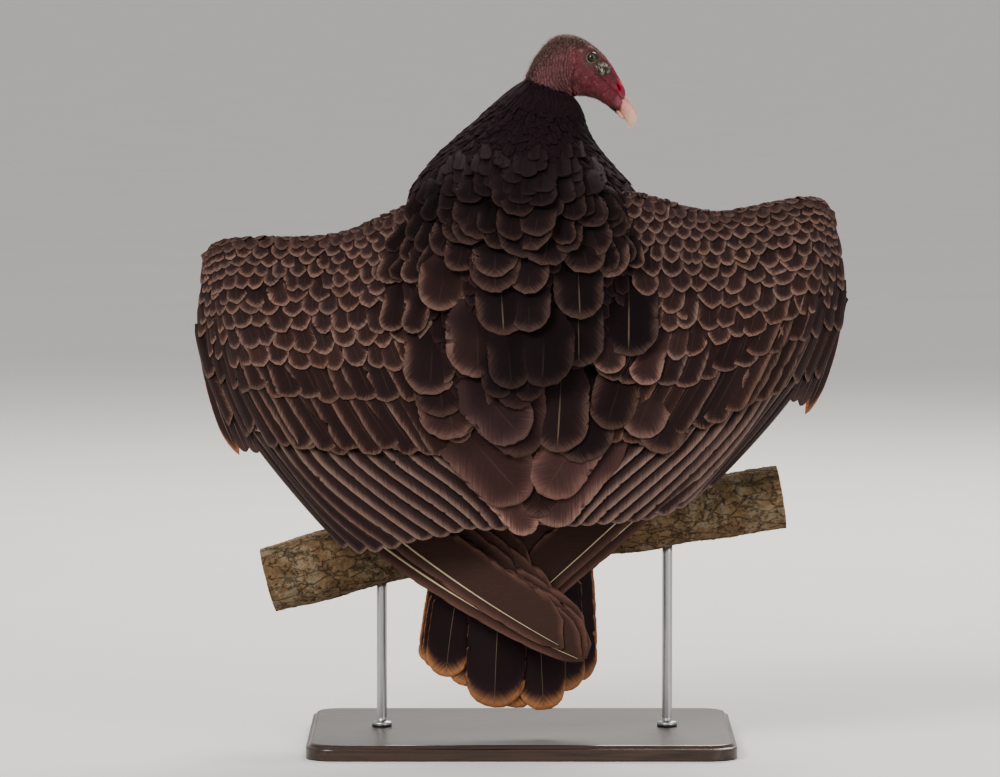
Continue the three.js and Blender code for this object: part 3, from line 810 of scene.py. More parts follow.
def build_wing(wing):
    """All the feathers of one wing; the lots are drawn up first, and then made into meshes."""
    spec = WRISTS[wing]
    sheet = Sheet(spec["keys"], spec["side"])
    hand = Sheet(spec["hand"], spec["side"])
    upper, under = joined(covert_rows(sheet)), joined(covert_rows(sheet, True))
    secondaries = build_secondaries(sheet)
    alula = build_alula(sheet)
    primaries = build_primaries(hand, spec["blades"])
    knuckles = build_knuckles(hand)
    finish(coat_object(f"coverts_{wing}", feather_piece(upper, 16, 9)), "coverts", coverts_material)
    lining = coat_object(f"underwing_{wing}", feather_piece(under, 9, 5), feather_piece(knuckles, 20, 9))
    finish(lining, "coverts", coverts_material)
    for name, lot, rows, columns, radius, quill, lift in (
            ("secondaries", secondaries, 60, 11, 0.6, 0.102, 0.2),
            ("primaries", primaries, 70, 11, 1.7, 0.935, 0.5),
            ("alula", alula, 40, 9, 0.8, 0.34, 0.2)):
        vanes = feather_piece(lot, rows, columns)
        piece = coat_object(f"{name}_{wing}", vanes, shafts(lot, radius, STRAW * quill, lift=lift))
        finish(piece, "flight_feathers", flight_material, f"wing_{wing}_{name}")


coverts_material = plumage_material("coverts", 0.62, 0.06)
flight_material = plumage_material("flight", 0.5, 0.04, 1.2, 0.1)
build_wing("right")
build_wing("left")


# ------------------------------------------------------------------ tail

# each tail feather's place across the tail, half its width, the width of its pale side, which is painted
# light shining through the edge, its height and its length
TAIL_FEATHERS = [
    (0.22, 11, 3.0, -2.4, 0.925), (3.82, 11, 3.0, -2.4, 0.94), (0.4, 16, 1.2, -0.8, 0.93),
    (3.68, 16, 1.2, -0.8, 0.955), (1.05, 20, 0.5, 0.0, 0.935), (3.38, 19, 0.5, 0.6, 0.962),
    (0.62, 21, 0.5, 1.4, 0.935), (2.2, 24, 0.4, 1.0, 0.985), (2.86, 22, 0.4, 2.2, 0.992),
    (1.72, 27, 0.4, 3.6, 0.99),
]


def build_tail():
    u, half, band, high, end = np.array(TAIL_FEATHERS).T
    count = len(u)
    # the orange rim is painted light: a glow of light shining through the feathers' edges and tips
    coat, rim = tinted(srgb(42, 29, 30), count, 0.08), tinted(srgb(196, 142, 100), count, 0.05)
    return flight_lot(
        Sheet(TAIL_LINES, 1), u, np.full(count, 0.12), end, -high, half, half, half * 0.95, coat, rim,
        side_by_side(0.05 + 0.9 * u / 4, 0.5), lift=0.0, left=half * (0.75 + 0.25 * smooth(0, 1, u)),
        fringe=0.85, band=band, band_tip=12.0, ragged=0.05, camber=1.6, root=0.3,
    )


tail = build_tail()
tail_coat = coat_object("tail_feathers", feather_piece(tail, 60, 11), shafts(tail, 0.9, STRAW * 0.3))
finish(tail_coat, "flight_feathers", flight_material, "tail")


# ------------------------------------------------------------------ the body's outer form

def cad_copy(names, grow):
    """One object from several CAD nodes, each grown a little so that they run into one another."""
    verts, tris, offset = [], [], 0
    for name in names:
        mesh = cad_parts[name].data
        mesh.calc_loop_triangles()
        co = np.array([v.co for v in mesh.vertices]) / MM - SHIFT
        key = np.round(co * 50).astype(np.int64)
        _, first, back_to = np.unique(key, axis=0, return_index=True, return_inverse=True)
        back_to = back_to.ravel()
        t = back_to[np.array([p.vertices[:] for p in mesh.loop_triangles])]
        co = co[first]
        face = np.cross(co[t[:, 1]] - co[t[:, 0]], co[t[:, 2]] - co[t[:, 0]])
        normal = np.zeros_like(co)
        for k in range(3):
            np.add.at(normal, t[:, k], face)
        verts.append(co + unit(normal) * grow)
        tris.append(t + offset)
        offset += len(co)
    return np.concatenate(verts), np.concatenate(tris)


def bvh_of(verts, faces):
    return BVHTree.FromPolygons([tuple(v) for v in verts], [tuple(int(i) for i in f) for f in faces])


FLESH = ["trunk", "neck", "wing_right_arm", "wing_left_arm", "thigh_right", "thigh_left"]
grown, grown_tris = cad_copy(FLESH, 0.9)
guide = new_object("guide", grown, None, grown_tris)
mod = guide.modifiers.new("remesh", "REMESH")
mod.mode = "VOXEL"
mod.voxel_size = 0.0031
mod = guide.modifiers.new("smooth", "SMOOTH")
mod.factor = 0.5
mod.iterations = 8
apply_modifiers(guide)
guide_verts = verts_of(guide)
guide_faces = [tuple(p.vertices) for p in guide.data.polygons]
guide_tree = bvh_of(guide_verts, guide_faces)
guide_normals = np.empty(len(guide_verts) * 3, np.float32)
guide.data.vertices.foreach_get("normal", guide_normals)
guide_normals = guide_normals.reshape(-1, 3).astype(float)
core_tree = bvh_of(*cad_copy(["trunk", "neck"], 0))
arms_tree = bvh_of(*cad_copy(["wing_right_arm", "wing_left_arm"], 0))
thigh_tree = bvh_of(*cad_copy(["thigh_right", "thigh_left"], 0))


def nearest(tree, p):
    hit = tree.find_nearest(Vector(p))
    return np.array(hit[0]), np.array(hit[1]), hit[3]


def distance(tree, p):
    return tree.find_nearest(Vector(p))[3]


def march(p, length, steps, flow):
    """Points and normals down the guide from p."""
    at, normal = nearest(guide_tree, p)[:2]
    points, normals = [at], [normal]
    for _ in range(steps):
        d = flow(at)
        d = d - normal * (d @ normal)
        size = np.linalg.norm(d)
        d = d / size if size > 0.05 else np.array([0, 0, -1.0])
        at, normal, _ = nearest(guide_tree, at + d * length / steps)
        points.append(at)
        normals.append(normal)
    return np.array(points), np.array(normals)


def refined(points, stations):
    """[N, K, 3] resampled to stations by Catmull-Rom."""
    k = points.shape[1] - 1
    u = np.linspace(0, k, stations)
    moved = np.moveaxis(points, 1, 0)
    return np.moveaxis(through(moved, u), 0, 1)


def body_flow(p):
    return np.array([0.25 * np.sign(p[0]) * smooth(30, 90, abs(p[0])) * smooth(470, 540, p[2]), 0, -1.0])


def body_size(p):
    """Length, half width and spacing of the small feathers at a place on the body."""
    z = p[2]
    ruff = smooth(488, 520, z)
    leg = 1 - smooth(2, 9, distance(thigh_tree, p))
    length = 36 - 12 * ruff - 12 * leg
    half = 9.5 - 6.0 * ruff - 3.5 * leg
    gap = 13.0 - 8.6 * ruff - 4.5 * leg
    return length, half, gap


def scatter(points, gaps, cell=5.0):
    """Indices of points that keep their own gaps from those chosen before them."""
    taken, grid = [], {}
    for i, (p, gap) in enumerate(zip(points, gaps)):
        a, b, c = (int(k) for k in p // cell)
        reach = range(-int(gap // cell) - 1, int(gap // cell) + 2)
        around = (j for x, y, z in product(reach, repeat=3) for j in grid.get((a + x, b + y, c + z), ()))
        if all(((points[j] - p) ** 2).sum() >= gap * gap for j in around):
            grid.setdefault((a, b, c), []).append(i)
            taken.append(i)
    return taken


def body_seeds():
    """Places of the small feathers' roots, and their sizes, on trunk, neck and thighs."""
    pick = rng.permutation(len(guide_verts))
    kept, sizes = [], []
    for i in pick:
        p = guide_verts[i]
        if p[2] > 589 or abs(p[0]) > 112:
            continue
        core = min(distance(core_tree, p), distance(thigh_tree, p))
        if core > 2.6 + 4 * smooth(470, 500, p[2]) or distance(arms_tree, p) < 1.5:
            continue
        kept.append(p)
        sizes.append(body_size(p))
    kept, sizes = np.array(kept), np.array(sizes)
    chosen = scatter(kept, sizes[:, 2] * 0.78)
    return kept[chosen], sizes[chosen]


def body_coat():
    """Small feathers of the body, which march down the guide from their roots."""
    seeds, sizes = body_seeds()
    steps = 4
    stray = rng.normal(size=(len(seeds), 3)) * 0.16
    made = [march(p, s[0], steps, lambda at, d=d: body_flow(at) + d) for p, s, d in zip(seeds, sizes, stray)]
    spine = refined(np.array([m[0] for m in made]), 10)
    normal = unit(refined(np.array([m[1] for m in made]), 10))
    n = len(seeds)
    s = np.linspace(0, 1, 10)[None]
    ruff = smooth(488, 520, seeds[:, 2])[:, None]
    rise = (-2.4 + 3.6 * s**1.2) * (1 - 0.55 * ruff) + rng.normal(size=(n, 1)) * 0.4 * s
    spine = spine + normal * rise[..., None]
    angle = np.arctan2(seeds[:, 1] + 10, seeds[:, 0]) / (2 * np.pi) + 0.5
    home = np.stack([0.01 + 0.98 * angle, 0.01 + 0.98 * (seeds[:, 2] - 230) / 370], 1)
    gloss = tinted(srgb(31, 20, 26), n, 0.08)
    plain = tinted(srgb(43, 29, 30), n, 0.14)
    coat = plain * (1 - ruff) + gloss * ruff
    rim = tinted(srgb(70, 54, 50), n, 0.1) * (1 - ruff) + tinted(srgb(44, 29, 34), n, 0.06) * ruff
    half = sizes[:, 1] * (1 + rng.normal(size=n) * 0.06)
    return dict(
        spine=spine, normal=normal, left=half, right=half, tip=half * 1.2, root=0.5, camber=0.7,
        roll=rng.normal(size=n) * 0.25 * (1 - 0.7 * ruff[:, 0]), thick=0.35, ragged=0.09, wave=0.25,
        coat=coat, rim=rim,
        fringe=0.6 - 0.35 * ruff[:, 0], shaft=0.0, pale=0.0, band=3.0 - 1.6 * ruff[:, 0], home=home,
    )


# sections of head and bill from the nape to the tip: upper edge (X, Z), lower edge (X, Z) and half width
HEAD = np.array([
    [4, 586, 38, 573, 18], [1.6, 596, 42, 577, 19], [8.4, 611, 46, 579, 20], [18.6, 624.6, 49, 579.6, 20.5],
    [27, 631, 52, 579.6, 21], [36.5, 633.2, 55.5, 579.2, 21], [47.4, 631.4, 59.5, 578.2, 20.5],
    [57.6, 626.2, 63.5, 576.8, 19], [67.6, 618.6, 68, 574.4, 16.2], [75.8, 609.8, 73, 570.8, 13],
    [81.4, 601, 77.6, 567.2, 10.8], [86.8, 591.4, 80.8, 564.8, 9.6], [90.6, 580.6, 82.6, 563, 8.6],
], float)
BILL_UPPER = np.array([
    [91, 578.7, 83.4, 567.2, 8.2], [95.8, 573.6, 85.6, 563.6, 7.5], [99.9, 567, 87.9, 560.4, 6.5],
    [101.2, 560.6, 89.9, 557.7, 5.1], [99.2, 554.6, 91.6, 555.2, 3.5], [95.2, 550.6, 92.4, 552.6, 1.9],
    [91.6, 548.9, 91.2, 549.7, 0.6],
], float)
BILL_LOWER = np.array([
    [84, 568.6, 82.9, 562.2, 6.6], [86, 565.6, 84.8, 560.4, 5.8], [88, 562.2, 87.2, 558.6, 4.4],
    [89.6, 559.2, 89.2, 557.6, 2.4],
], float)
EYE = np.array([60, 613.4])
EYE_RADIUS, EYE_OUT = 5.7, 12.2
NOSTRIL, NOSTRIL_HALF, NOSTRIL_TURN = np.array([84.4, 587]), (4.4, 1.5), -1.12
GAPE = [(92, 569.5), (83.4, 581.2), (71.2, 593.4), (63.5, 598.5)]


def profile(rows, v, turn, square=0.95):
    """Points round a profile's sections; turn 0 is the left side, a quarter turn the crown."""
    row = through(rows, v)
    top, low, w = row[..., 0:2], row[..., 2:4], row[..., 4]
    c = np.sign(np.cos(turn)) * np.abs(np.cos(turn)) ** square
    s = np.sign(np.sin(turn)) * np.abs(np.sin(turn)) ** square
    middle, half = (top + low) / 2, (top - low) / 2
    flat = middle + half * s[..., None]
    return np.stack([flat[..., 0], HEAD_Y + w * c, flat[..., 1]], -1)


def collar():
    """Short dark feathers that start on the bare skin's edge and run down over the neck."""
    axis = np.array([22.0, HEAD_Y])
    lots = []
    for row, v in enumerate(np.linspace(1.0, -0.3, 9)):
        count = 48
        turn = (np.arange(count) + 0.5 * (row % 2) + rng.normal(size=count) * 0.15) * 2 * np.pi / count
        for k0, p in enumerate(profile(HEAD, v + rng.normal(size=count) * 0.05, turn)):
            away = unit(p[:2] - axis)
            line, outs = [], []
            for k in range(5):
                z = p[2] - (3.0 + 1.6 * ((row * 7 + k0 * 5) % 4) / 4) * k
                from_far = np.array([*(axis + away * 90), z])
                hit = guide_tree.ray_cast(Vector(from_far), Vector((*(-away), 0)))
                far = 0 if hit[0] is None else (np.array(hit[0])[:2] - axis) @ away
                near = (p[:2] - axis) @ away + 0.9 * k
                line.append([*(axis + away * (max(far, near) + 0.4)), z])
                outs.append([*away, 0.5])
            lots.append((np.array(line), unit(np.array(outs))))
    spine = refined(np.array([m[0] for m in lots]), 10)
    normal = unit(refined(np.array([m[1] for m in lots]), 10))
    n = len(spine)
    s = np.linspace(0, 1, 10)[None]
    spine = spine + normal * (-0.6 + 1.6 * s - 0.9 * s**3 + rng.normal(size=(n, 1)) * 0.25 * s)[..., None]
    turn = np.arctan2(spine[:, 0, 1] - HEAD_Y, spine[:, 0, 0] - 22) / (2 * np.pi) + 0.5
    home = np.stack([0.02 + 0.96 * turn, 0.985 + 0.01 * rng.random(n)], 1)
    half = 2.5 * (1 + rng.normal(size=n) * 0.1)
    return dict(
        spine=spine, normal=normal, left=half, right=half, tip=half * 1.6, root=0.5, camber=0.4, roll=0.0,
        thick=0.3, ragged=0.12, wave=0.2, coat=tinted(srgb(31, 20, 26), n, 0.08),
        rim=tinted(srgb(44, 29, 34), n, 0.06),
        fringe=0.3, shaft=0.0, pale=0.0, band=1.4, home=home,
    )


def part_of(f, part):
    """Some of a lot's feathers."""
    listed = (key for key, value in f.items() if isinstance(value, np.ndarray) and value.ndim)
    return {**f, **{key: f[key][part] for key in listed}}


body_material = plumage_material("plumage", 0.74, 0.04)
body = body_coat()
half = len(body["spine"]) // 2
for k, part in enumerate((slice(0, half), slice(half, None))):
    vanes = feather_piece(part_of(body, part), 8, 5)
    finish(coat_object(f"body_feathers_{k + 1}", vanes), "plumage", body_material)
finish(coat_object("collar_feathers", feather_piece(collar(), 8, 5)), "plumage", body_material)


# ------------------------------------------------------------------ mantle and scapulars

def back_mesh():
    """The wings' sheets, carried on over the middle of the back."""
    verts, faces = [], []
    for spec in WRISTS.values():
        u, t = np.meshgrid(np.linspace(-0.3, 3.2, 50), np.linspace(0.0, 1.0, 50), indexing="ij")
        p = Sheet(spec["keys"], spec["side"]).point(u, t)
        faces.append(grid_faces(50, 50) + 2500 * len(verts))
        verts.append(p.reshape(-1, 3))
    return np.concatenate(verts), np.concatenate(faces)


back_tree = bvh_of(*back_mesh())


def back_y(x, z):
    """Y and normal of what the broad feathers lie on, seen from behind."""
    found = []
    for tree in (guide_tree, back_tree):
        hit = tree.ray_cast(Vector((x, -400, z)), Vector((0, 1, 0)))
        if hit[0] is None:
            found.append(None)
            continue
        normal = np.array(hit[1])
        found.append((hit[0][1], normal if normal[1] < 0 else -normal))
    body, wing = found
    if body is None and wing is None:
        at, normal, _ = nearest(guide_tree, (x, -60, z))
        return at[1], normal
    if body is None or wing is None or wing[0] > body[0]:
        return body or wing
    share = smooth(516, 436, z)
    return body[0] + (wing[0] - body[0]) * share, unit(body[1] * (1 - share) + wing[1] * share)


# every broad feather of the shoulders, seen from behind: its tip's place across and its height, its width and
# length, its lean in degrees, its tone (its own brown, and painted shade on those that lie in shadow), how
# pale its fringe is, and 1 if its shaft shows
SCAPULARS = [
    (11.6, 211.3, 44.5, 124.6, -3, 0.9, 0.35, 0), (-4.5, 264.7, 53.4, 97.9, 4, 0.85, 0.25, 0),
    (8, 199.8, 30.3, 106.8, 42, 1.36, 1.0, 0), (14.2, 207.8, 42.7, 115.7, -40, 1.14, 0.6, 0),
    (0.9, 228.2, 60.5, 115.7, 42, 1.14, 0.35, 0), (14.2, 231.8, 51.6, 97.9, -34, 1.28, 0.3, 0),
    (-0.9, 281.6, 53.4, 74.8, 42, 1.06, 0.2, 0), (-7.1, 307.4, 39.2, 62.3, 0, 0.6, 0.35, 0),
    (-22.2, 317.2, 30.3, 44.5, 4, 0.56, 0.4, 0), (2.7, 314.6, 30.3, 44.5, 0, 0.58, 0.4, 0),
    (70.3, 289.6, 42.7, 80.1, -18, 0.7, 0.5, 0), (43.6, 261.2, 58.7, 97.9, -12, 0.68, 0.6, 0),
    (-71.2, 299.4, 49.8, 71.2, 6, 0.72, 0.45, 0), (-60.5, 280.8, 55.2, 80.1, 14, 1.1, 0.4, 0),
    (27.6, 270.1, 53.4, 87.2, -4, 0.76, 0.65, 1), (95.2, 282.5, 44.5, 71.2, -24, 1.08, 0.6, 0),
    (109.5, 270.1, 44.5, 71.2, -30, 0.85, 0.55, 0), (-11.6, 325.2, 39.2, 62.3, 4, 0.56, 0.4, 0),
    (15.1, 327, 55.2, 71.2, -2, 0.58, 0.35, 0), (-82.8, 318.1, 51.6, 74.8, -2, 0.82, 0.85, 0),
    (102.4, 327, 30.3, 53.4, -14, 1.05, 0.9, 0), (-40, 334.1, 58.7, 74.8, 2, 0.94, 0.7, 0),
    (70.3, 337.7, 32, 44.5, -10, 0.95, 0.9, 0), (46.3, 343.9, 48.1, 69.4, 0, 0.68, 0.5, 1),
    (89.9, 351.9, 55.2, 81.9, -2, 0.56, 0.85, 1), (-118.4, 372.4, 24.9, 49.8, -12, 0.85, 0.9, 0),
    (-99.7, 371.5, 23.1, 44.5, -16, 0.85, 0.7, 0), (-17.8, 372.4, 48.1, 53.4, 4, 0.66, 0.6, 1),
    (4.5, 375.1, 39.2, 46.3, 0, 0.66, 0.6, 0), (46.3, 385.8, 46.3, 55.2, 0, 0.62, 0.6, 1),
    (-74.8, 392, 49.8, 51.6, -10, 0.92, 0.8, 0), (73, 421.4, 42.7, 40.9, 4, 0.75, 0.95, 0),
    (97, 427.6, 17.8, 30.3, 8, 0.8, 0.9, 0), (4.5, 408, 37.4, 39.2, 0, 0.7, 0.7, 0),
    (-24.9, 408.9, 46.3, 44.5, 2, 0.68, 0.6, 0), (-121.9, 413.4, 23.1, 37.4, -18, 0.9, 0.8, 0),
    (-102.4, 415.1, 21.4, 39.2, -24, 0.9, 0.8, 0),
]
# rows of the mantle: height of the tips, left and right ends, step, width, length, and how far they stand out
MANTLE_ROWS = [
    (433.8, -114.8, 102.4, 27.6, 37.4, 37.4, 8.4),
    (446.3, -116.6, 105.9, 26.7, 35.6, 35.6, 8.5),
    (459.6, -114.8, 102.4, 24.9, 32.9, 33.8, 8.6),
    (471.2, -109.5, 95.2, 23.1, 30.3, 32, 8.4),
    (482.8, -104.1, 89.9, 20.5, 26.7, 30.3, 7.6),
    (492.6, -97, 82.8, 17.8, 23.1, 27.6, 6.4),
    (502.4, -84.5, 69.4, 14.2, 18.7, 26.7, 5.0),
    (510.4, -74.8, 60, 12.46, 16, 26.7, 3.7),
    (518.4, -65, 49, 9.8, 12.5, 25.8, 2.4),
]
MANTLE_HALF = 98  # from the middle of the back to the mantle's edge
RUFF_FOOT, RUFF_TOP = 471.2, 517.5  # the mantle darkens to the ruff's black between these heights


def scapular_rows():
    """The listed broad feathers, then narrower rows up to the ruff."""
    rows = [row + (3.4 + 5.0 * i / len(SCAPULARS),) for i, row in enumerate(SCAPULARS)]
    for k, (z, left, right, gap, wide, long, high) in enumerate(MANTLE_ROWS):
        x = left + (gap / 2 if k % 2 else 0)
        while x < right:
            side = x / MANTLE_HALF
            lean = 28 * abs(side) ** 1.5 * np.sign(side)
            size = (1 - 0.35 * side**2) * (1 + 0.13 * rng.normal() * (k < 6))
            across = x + rng.normal() * 3.1
            up = z - 12.5 * side**2 - rng.normal() * 4.0
            lean = lean + rng.normal() * 6
            tone = (0.72 - 0.035 * k) * (1 + 0.06 * rng.normal())
            rows.append((across, up, wide * size, long, lean, tone, max(0.62 - 0.09 * k, 0.05), 0, high))
            x += gap * (1 + rng.normal() * 0.06)
    return rows


def scapulars():
    """Broad feathers of shoulders and mantle, laid on the back from behind, the lowest first."""
    rows = scapular_rows()
    n = len(rows)
    listed = np.arange(n) < len(SCAPULARS)
    steps = 7
    spine = np.zeros((n, steps + 1, 3))
    normal = np.zeros((n, steps + 1, 3))
    for i, (tip_x, tip_z, _, long, lean, _, _, _, high) in enumerate(rows):
        turn = math.radians(lean)
        crossed = abs(lean) > 30
        slope = 0.17 if not listed[i] else 0.05 if crossed else 0.11
        sunk = 26 if crossed or not listed[i] else 12
        in_furrow = abs(tip_x + 3.6) < 19.6 and tip_z < 353.7
        for k in range(steps + 1):
            s = k / steps
            back = long * (1 - s)
            x = tip_x - math.sin(turn) * back
            z = min(tip_z + math.cos(turn) * back, 575)
            y, out = back_y(x, z)
            if in_furrow:
                # the feathers over the furrow of the back bridge it
                y = min(back_y(x + d, z)[0] for d in (-15, -7, 0, 7, 15))
                out = np.array([0, -1.0, 0.15])
            out = unit(out + np.array([0, -0.8, 0]))
            rise = high - slope * back + 1.0 * s**3 - sunk * max(0.45 - s, 0) ** 2
            spine[i, k] = np.array([x, y, z]) + out * rise
            normal[i, k] = out
    for _ in range(3):
        spine[:, 1:-1] = 0.5 * spine[:, 1:-1] + 0.25 * (spine[:, 2:] + spine[:, :-2])
        normal[:, 1:-1] = 0.5 * normal[:, 1:-1] + 0.25 * (normal[:, 2:] + normal[:, :-2])
    tip_x, tip_z, wide, _, _, tone, fringe, show, _ = np.array(rows).T
    half = wide / 2
    tone = tone[:, None]
    home = np.stack([0.525 + tip_x / 890, 0.946 - (tip_z - 36) / 712], 1)
    high = smooth(RUFF_FOOT, RUFF_TOP, tip_z)[:, None]
    # tone darkens the mantle towards the ruff, and is partly painted shade on the listed feathers that lie in
    # shadow
    coat = tinted(srgb(58, 41, 39), n, 0.08) * tone**2.8
    coat = coat * (1 - high) + tinted(srgb(31, 20, 24), n, 0.06) * high
    rim = tinted(srgb(146, 118, 107), n, 0.07) * np.minimum(0.1 + 0.8 * tone**2, 1.0) * (1 - 0.8 * high)
    return dict(
        spine=refined(spine, 22), normal=unit(refined(normal, 22)), left=half, right=half, tip=half * 1.05,
        root=0.55, camber=1.6, roll=-0.9 * np.sign(tip_x - 1.8), thick=0.5, wave=0.6, point=0.12,
        coat=coat, rim=rim, ragged=np.where(listed, 0.045, 0.09), fringe=fringe, shaft=0.6 * show + 0.12,
        pale=0.0,
        band=np.clip(half * 0.42, 3, 8.5), home=home, show=show,
    )


shoulders = scapulars()
quills = shoulders["coat"] * 0.9 + shoulders["show"][:, None] * STRAW * 0.07
count = len(SCAPULARS)
for name, part, rows, columns, radius, shaft_rows in (
        ("scapulars", slice(0, count), 40, 19, 0.4, 30), ("mantle", slice(count, None), 22, 11, 0.3, 14)):
    lot = part_of(shoulders, part)
    vanes = feather_piece(lot, rows, columns)
    piece = coat_object(name, vanes, shafts(lot, radius, quills[part], rows=shaft_rows))
    finish(piece, "plumage", coverts_material)


# ------------------------------------------------------------------ branch

BRANCH_HALF = 230.0
BRANCH_HEIGHTS = [146, 166, 182, 191, 198.5, 208.5, 221]


def branch_height(x):
    return through(BRANCH_HEIGHTS, (np.asarray(x, float) / BRANCH_HALF + 1) / 2 * (len(BRANCH_HEIGHTS) - 1))


def branch_slope(x):
    return (branch_height(x + 1) - branch_height(x - 1)) / 2


def branch_radius(x):
    return 28.3 + 0.9 * np.sin(x / 38) + 0.7 * np.sin(x / 15 + 1)


def on_branch(x, turn, over):
    """A point over the bark; turn goes round the branch from its top towards +Y."""
    r = branch_radius(x) + over
    up = r * np.cos(turn)
    return np.stack([x - branch_slope(x) * up, r * np.sin(turn), branch_height(x) + up], -1)


def fractal(points, scale, octaves=4, rough=0.9):
    return np.array([
        noise.fractal(Vector(p) * scale, rough, 2.1, octaves, noise_basis="PERLIN_ORIGINAL") for p in points])


# knots of the branch: place along it, place round it, size and height
KNOTS = [(-172, 2.6, 9, 4.5), (60, 3.6, 7, 3.0), (152, -0.9, 9, 4.0), (-70, -2.3, 6, 2.5)]


def bark_height(X, T):
    """Height of the bark over the branch's round form: plates, cracks both ways, knots, and worn places."""
    flat = np.stack([X, 40 * np.cos(T), 40 * np.sin(T)], -1).reshape(-1, 3)
    broad = fractal(flat, 0.022, 3).reshape(X.shape)
    plates = fractal(flat * [0.6, 1.3, 1.3], 0.11, 4).reshape(X.shape)
    warp = fractal(flat + 31, 0.06, 2).reshape(X.shape)
    cracks = np.abs(np.sin(T * 13 + warp * 5 + X * 0.018)) ** 0.5
    crossed = np.abs(np.sin(X * 0.13 + warp * 6 + plates * 2)) ** 0.35
    rough = 1.0 * broad + 0.75 * plates + 1.0 * (np.minimum(cracks, crossed) - 0.75)
    for knot_x, knot_turn, size, high in KNOTS:
        d = np.hypot(X - knot_x, (np.angle(np.exp(1j * (T - knot_turn)))) * 28) / size
        rough = rough + high * np.exp(-(d**2)) - high * 0.6 * np.exp(-((d * 3) ** 2))
        rough = rough + 0.5 * np.sin(d * 9) * np.exp(-(d**2) / 2)
    near_feet = np.exp(-((np.abs(X) - 43) / 22) ** 2)
    return np.clip(rough, -2.6, 4.5) * (1 - 0.5 * near_feet) - 0.5 * near_feet


def cut_face(edge, rings, way):
    """Rings from the branch's edge in to the middle of its slightly domed, rough cut."""
    middle = edge.mean(0)
    found = []
    for k in range(1, rings):
        share = 1 - k / rings
        ring = middle + (edge - middle) * share + np.array([way * 0.9 * (1 - share**6), 0, 0])
        ring[:, 0] += fractal(ring, 0.25, 3) * 0.5
        found.append(ring)
    return np.array(found)


def build_branch():
    along, around, cap = 460, 132, 9
    turn = np.arange(around) * 2 * np.pi / around
    X, T = np.meshgrid(np.linspace(-BRANCH_HALF, BRANCH_HALF, along), turn, indexing="ij")
    over = bark_height(X, T)
    bark = on_branch(X, T, over)
    grid = np.concatenate([cut_face(bark[0], cap, -1)[::-1], bark, cut_face(bark[-1], cap, 1)])
    verts, quads, tris = tube(grid)
    cut = np.ones(len(verts))
    high = np.zeros(len(verts))
    on_bark = slice((cap - 1) * around, (cap - 1 + along) * around)
    cut[on_bark] = 0
    high[on_bark] = over.ravel()
    turned = np.concatenate([np.tile(np.cos(turn), len(grid)), [0, 0]])
    return outward(new_object("perch_bark", verts, quads, tris, {"cut": cut, "high": high, "turn": turned}))


def bark_material():
    n = Nodes("bark")
    where = n.position()
    fine = n.noise(380, where, 7, 0.72)
    mid = n.noise(85, where, 6, 0.68, 0.5)
    large = n.noise(17, where, 4, 0.6, 0.6)
    warp = n.times(n.minus(mid, 0.5), 0.02)
    warped = n.stretched(n.vector(*(n.plus(part, warp) for part in n.split(where))), 52, 110, 110)
    crack = n.ramp(n.cells(1.0, warped, "DISTANCE_TO_EDGE"), 0.0, 0.07, 1.0, 0.0)
    base = n.mix(n.ramp(mid, 0.3, 0.7), srgb(88, 68, 50), srgb(126, 103, 76))
    # painted highlights: fine pale flecks over the bark
    base = n.mix(n.times(n.ramp(fine, 0.42, 0.66), 0.35), base, srgb(148, 128, 100))
    # painted shade: darker where the bark lies low, in its cracks and hollows
    low = n.times(n.ramp(n.attribute("high"), -1.6, 0.2, 1.0, 0.0), 0.55)
    base = n.mix(low, base, srgb(58, 46, 36))
    pale = n.times(n.ramp(large, 0.49, 0.55), n.ramp(n.noise(120, where, 6, 0.72), 0.44, 0.52))
    base = n.mix(n.times(pale, 0.42), base, srgb(152, 142, 122))
    upper = n.ramp(n.attribute("turn"), -0.2, 0.8)
    moss = n.times(n.ramp(n.noise(26, where, 5, 0.7, 1.0), 0.56, 0.66), upper)
    base = n.mix(n.times(moss, 0.45), base, srgb(104, 100, 66))
    base = n.mix(n.times(crack, 0.5), base, srgb(50, 39, 30))
    rings = n.noise(1.0, n.stretched(where, 0, 60, 60), 3)
    wood = n.mix(rings, srgb(142, 112, 80), srgb(182, 152, 112))
    base = n.mix(n.attribute("cut"), base, wood)
    height = n.minus(n.plus(n.times(fine, 0.7), n.times(mid, 1.2)), n.times(crack, 0.8))
    n.put(Base_Color=base, Roughness=n.ramp(fine, 0.2, 0.8, 0.78, 0.95), Normal=n.bump(height, 0.9, 0.0016))
    n.put(Specular_IOR_Level=0.3)
    return n.material


finish(build_branch(), "bark", bark_material(), "perch_branch")


# ------------------------------------------------------------------ head

def line_distance(x, z, points):
    """Distance to a line of points in the profile, and how far along it, from 0 to 1."""
    best, where = np.full(x.shape, 1e9), np.zeros(x.shape)
    for k, (a, b) in enumerate(zip(points[:-1], points[1:])):
        a, b = np.array(a), np.array(b)
        d = b - a
        t = np.clip(((x - a[0]) * d[0] + (z - a[1]) * d[1]) / (d @ d), 0, 1)
        r = np.hypot(x - a[0] - t * d[0], z - a[1] - t * d[1])
        where = np.where(r < best, (k + t) / (len(points) - 1), where)
        best = np.minimum(best, r)
    return best, where


def grid_normals(grid):
    du = np.gradient(grid, axis=0)
    dv = np.roll(grid, -1, 1) - np.roll(grid, 1, 1)
    n = unit(np.cross(du, dv))
    middle = grid.mean(1, keepdims=True)
    return np.where(((grid - middle) * n).sum(-1, keepdims=True) < 0, -n, n)


def from_face(x, z):
    """Distance from the middle of the bare face."""
    return np.hypot(x - 64, (z - 604) * 0.9)


def round_head(rows, v, turn):
    """A grid of points on a profile, for every v and every turn."""
    V, T = np.meshgrid(v, turn, indexing="ij")
    return profile(rows, V, T)


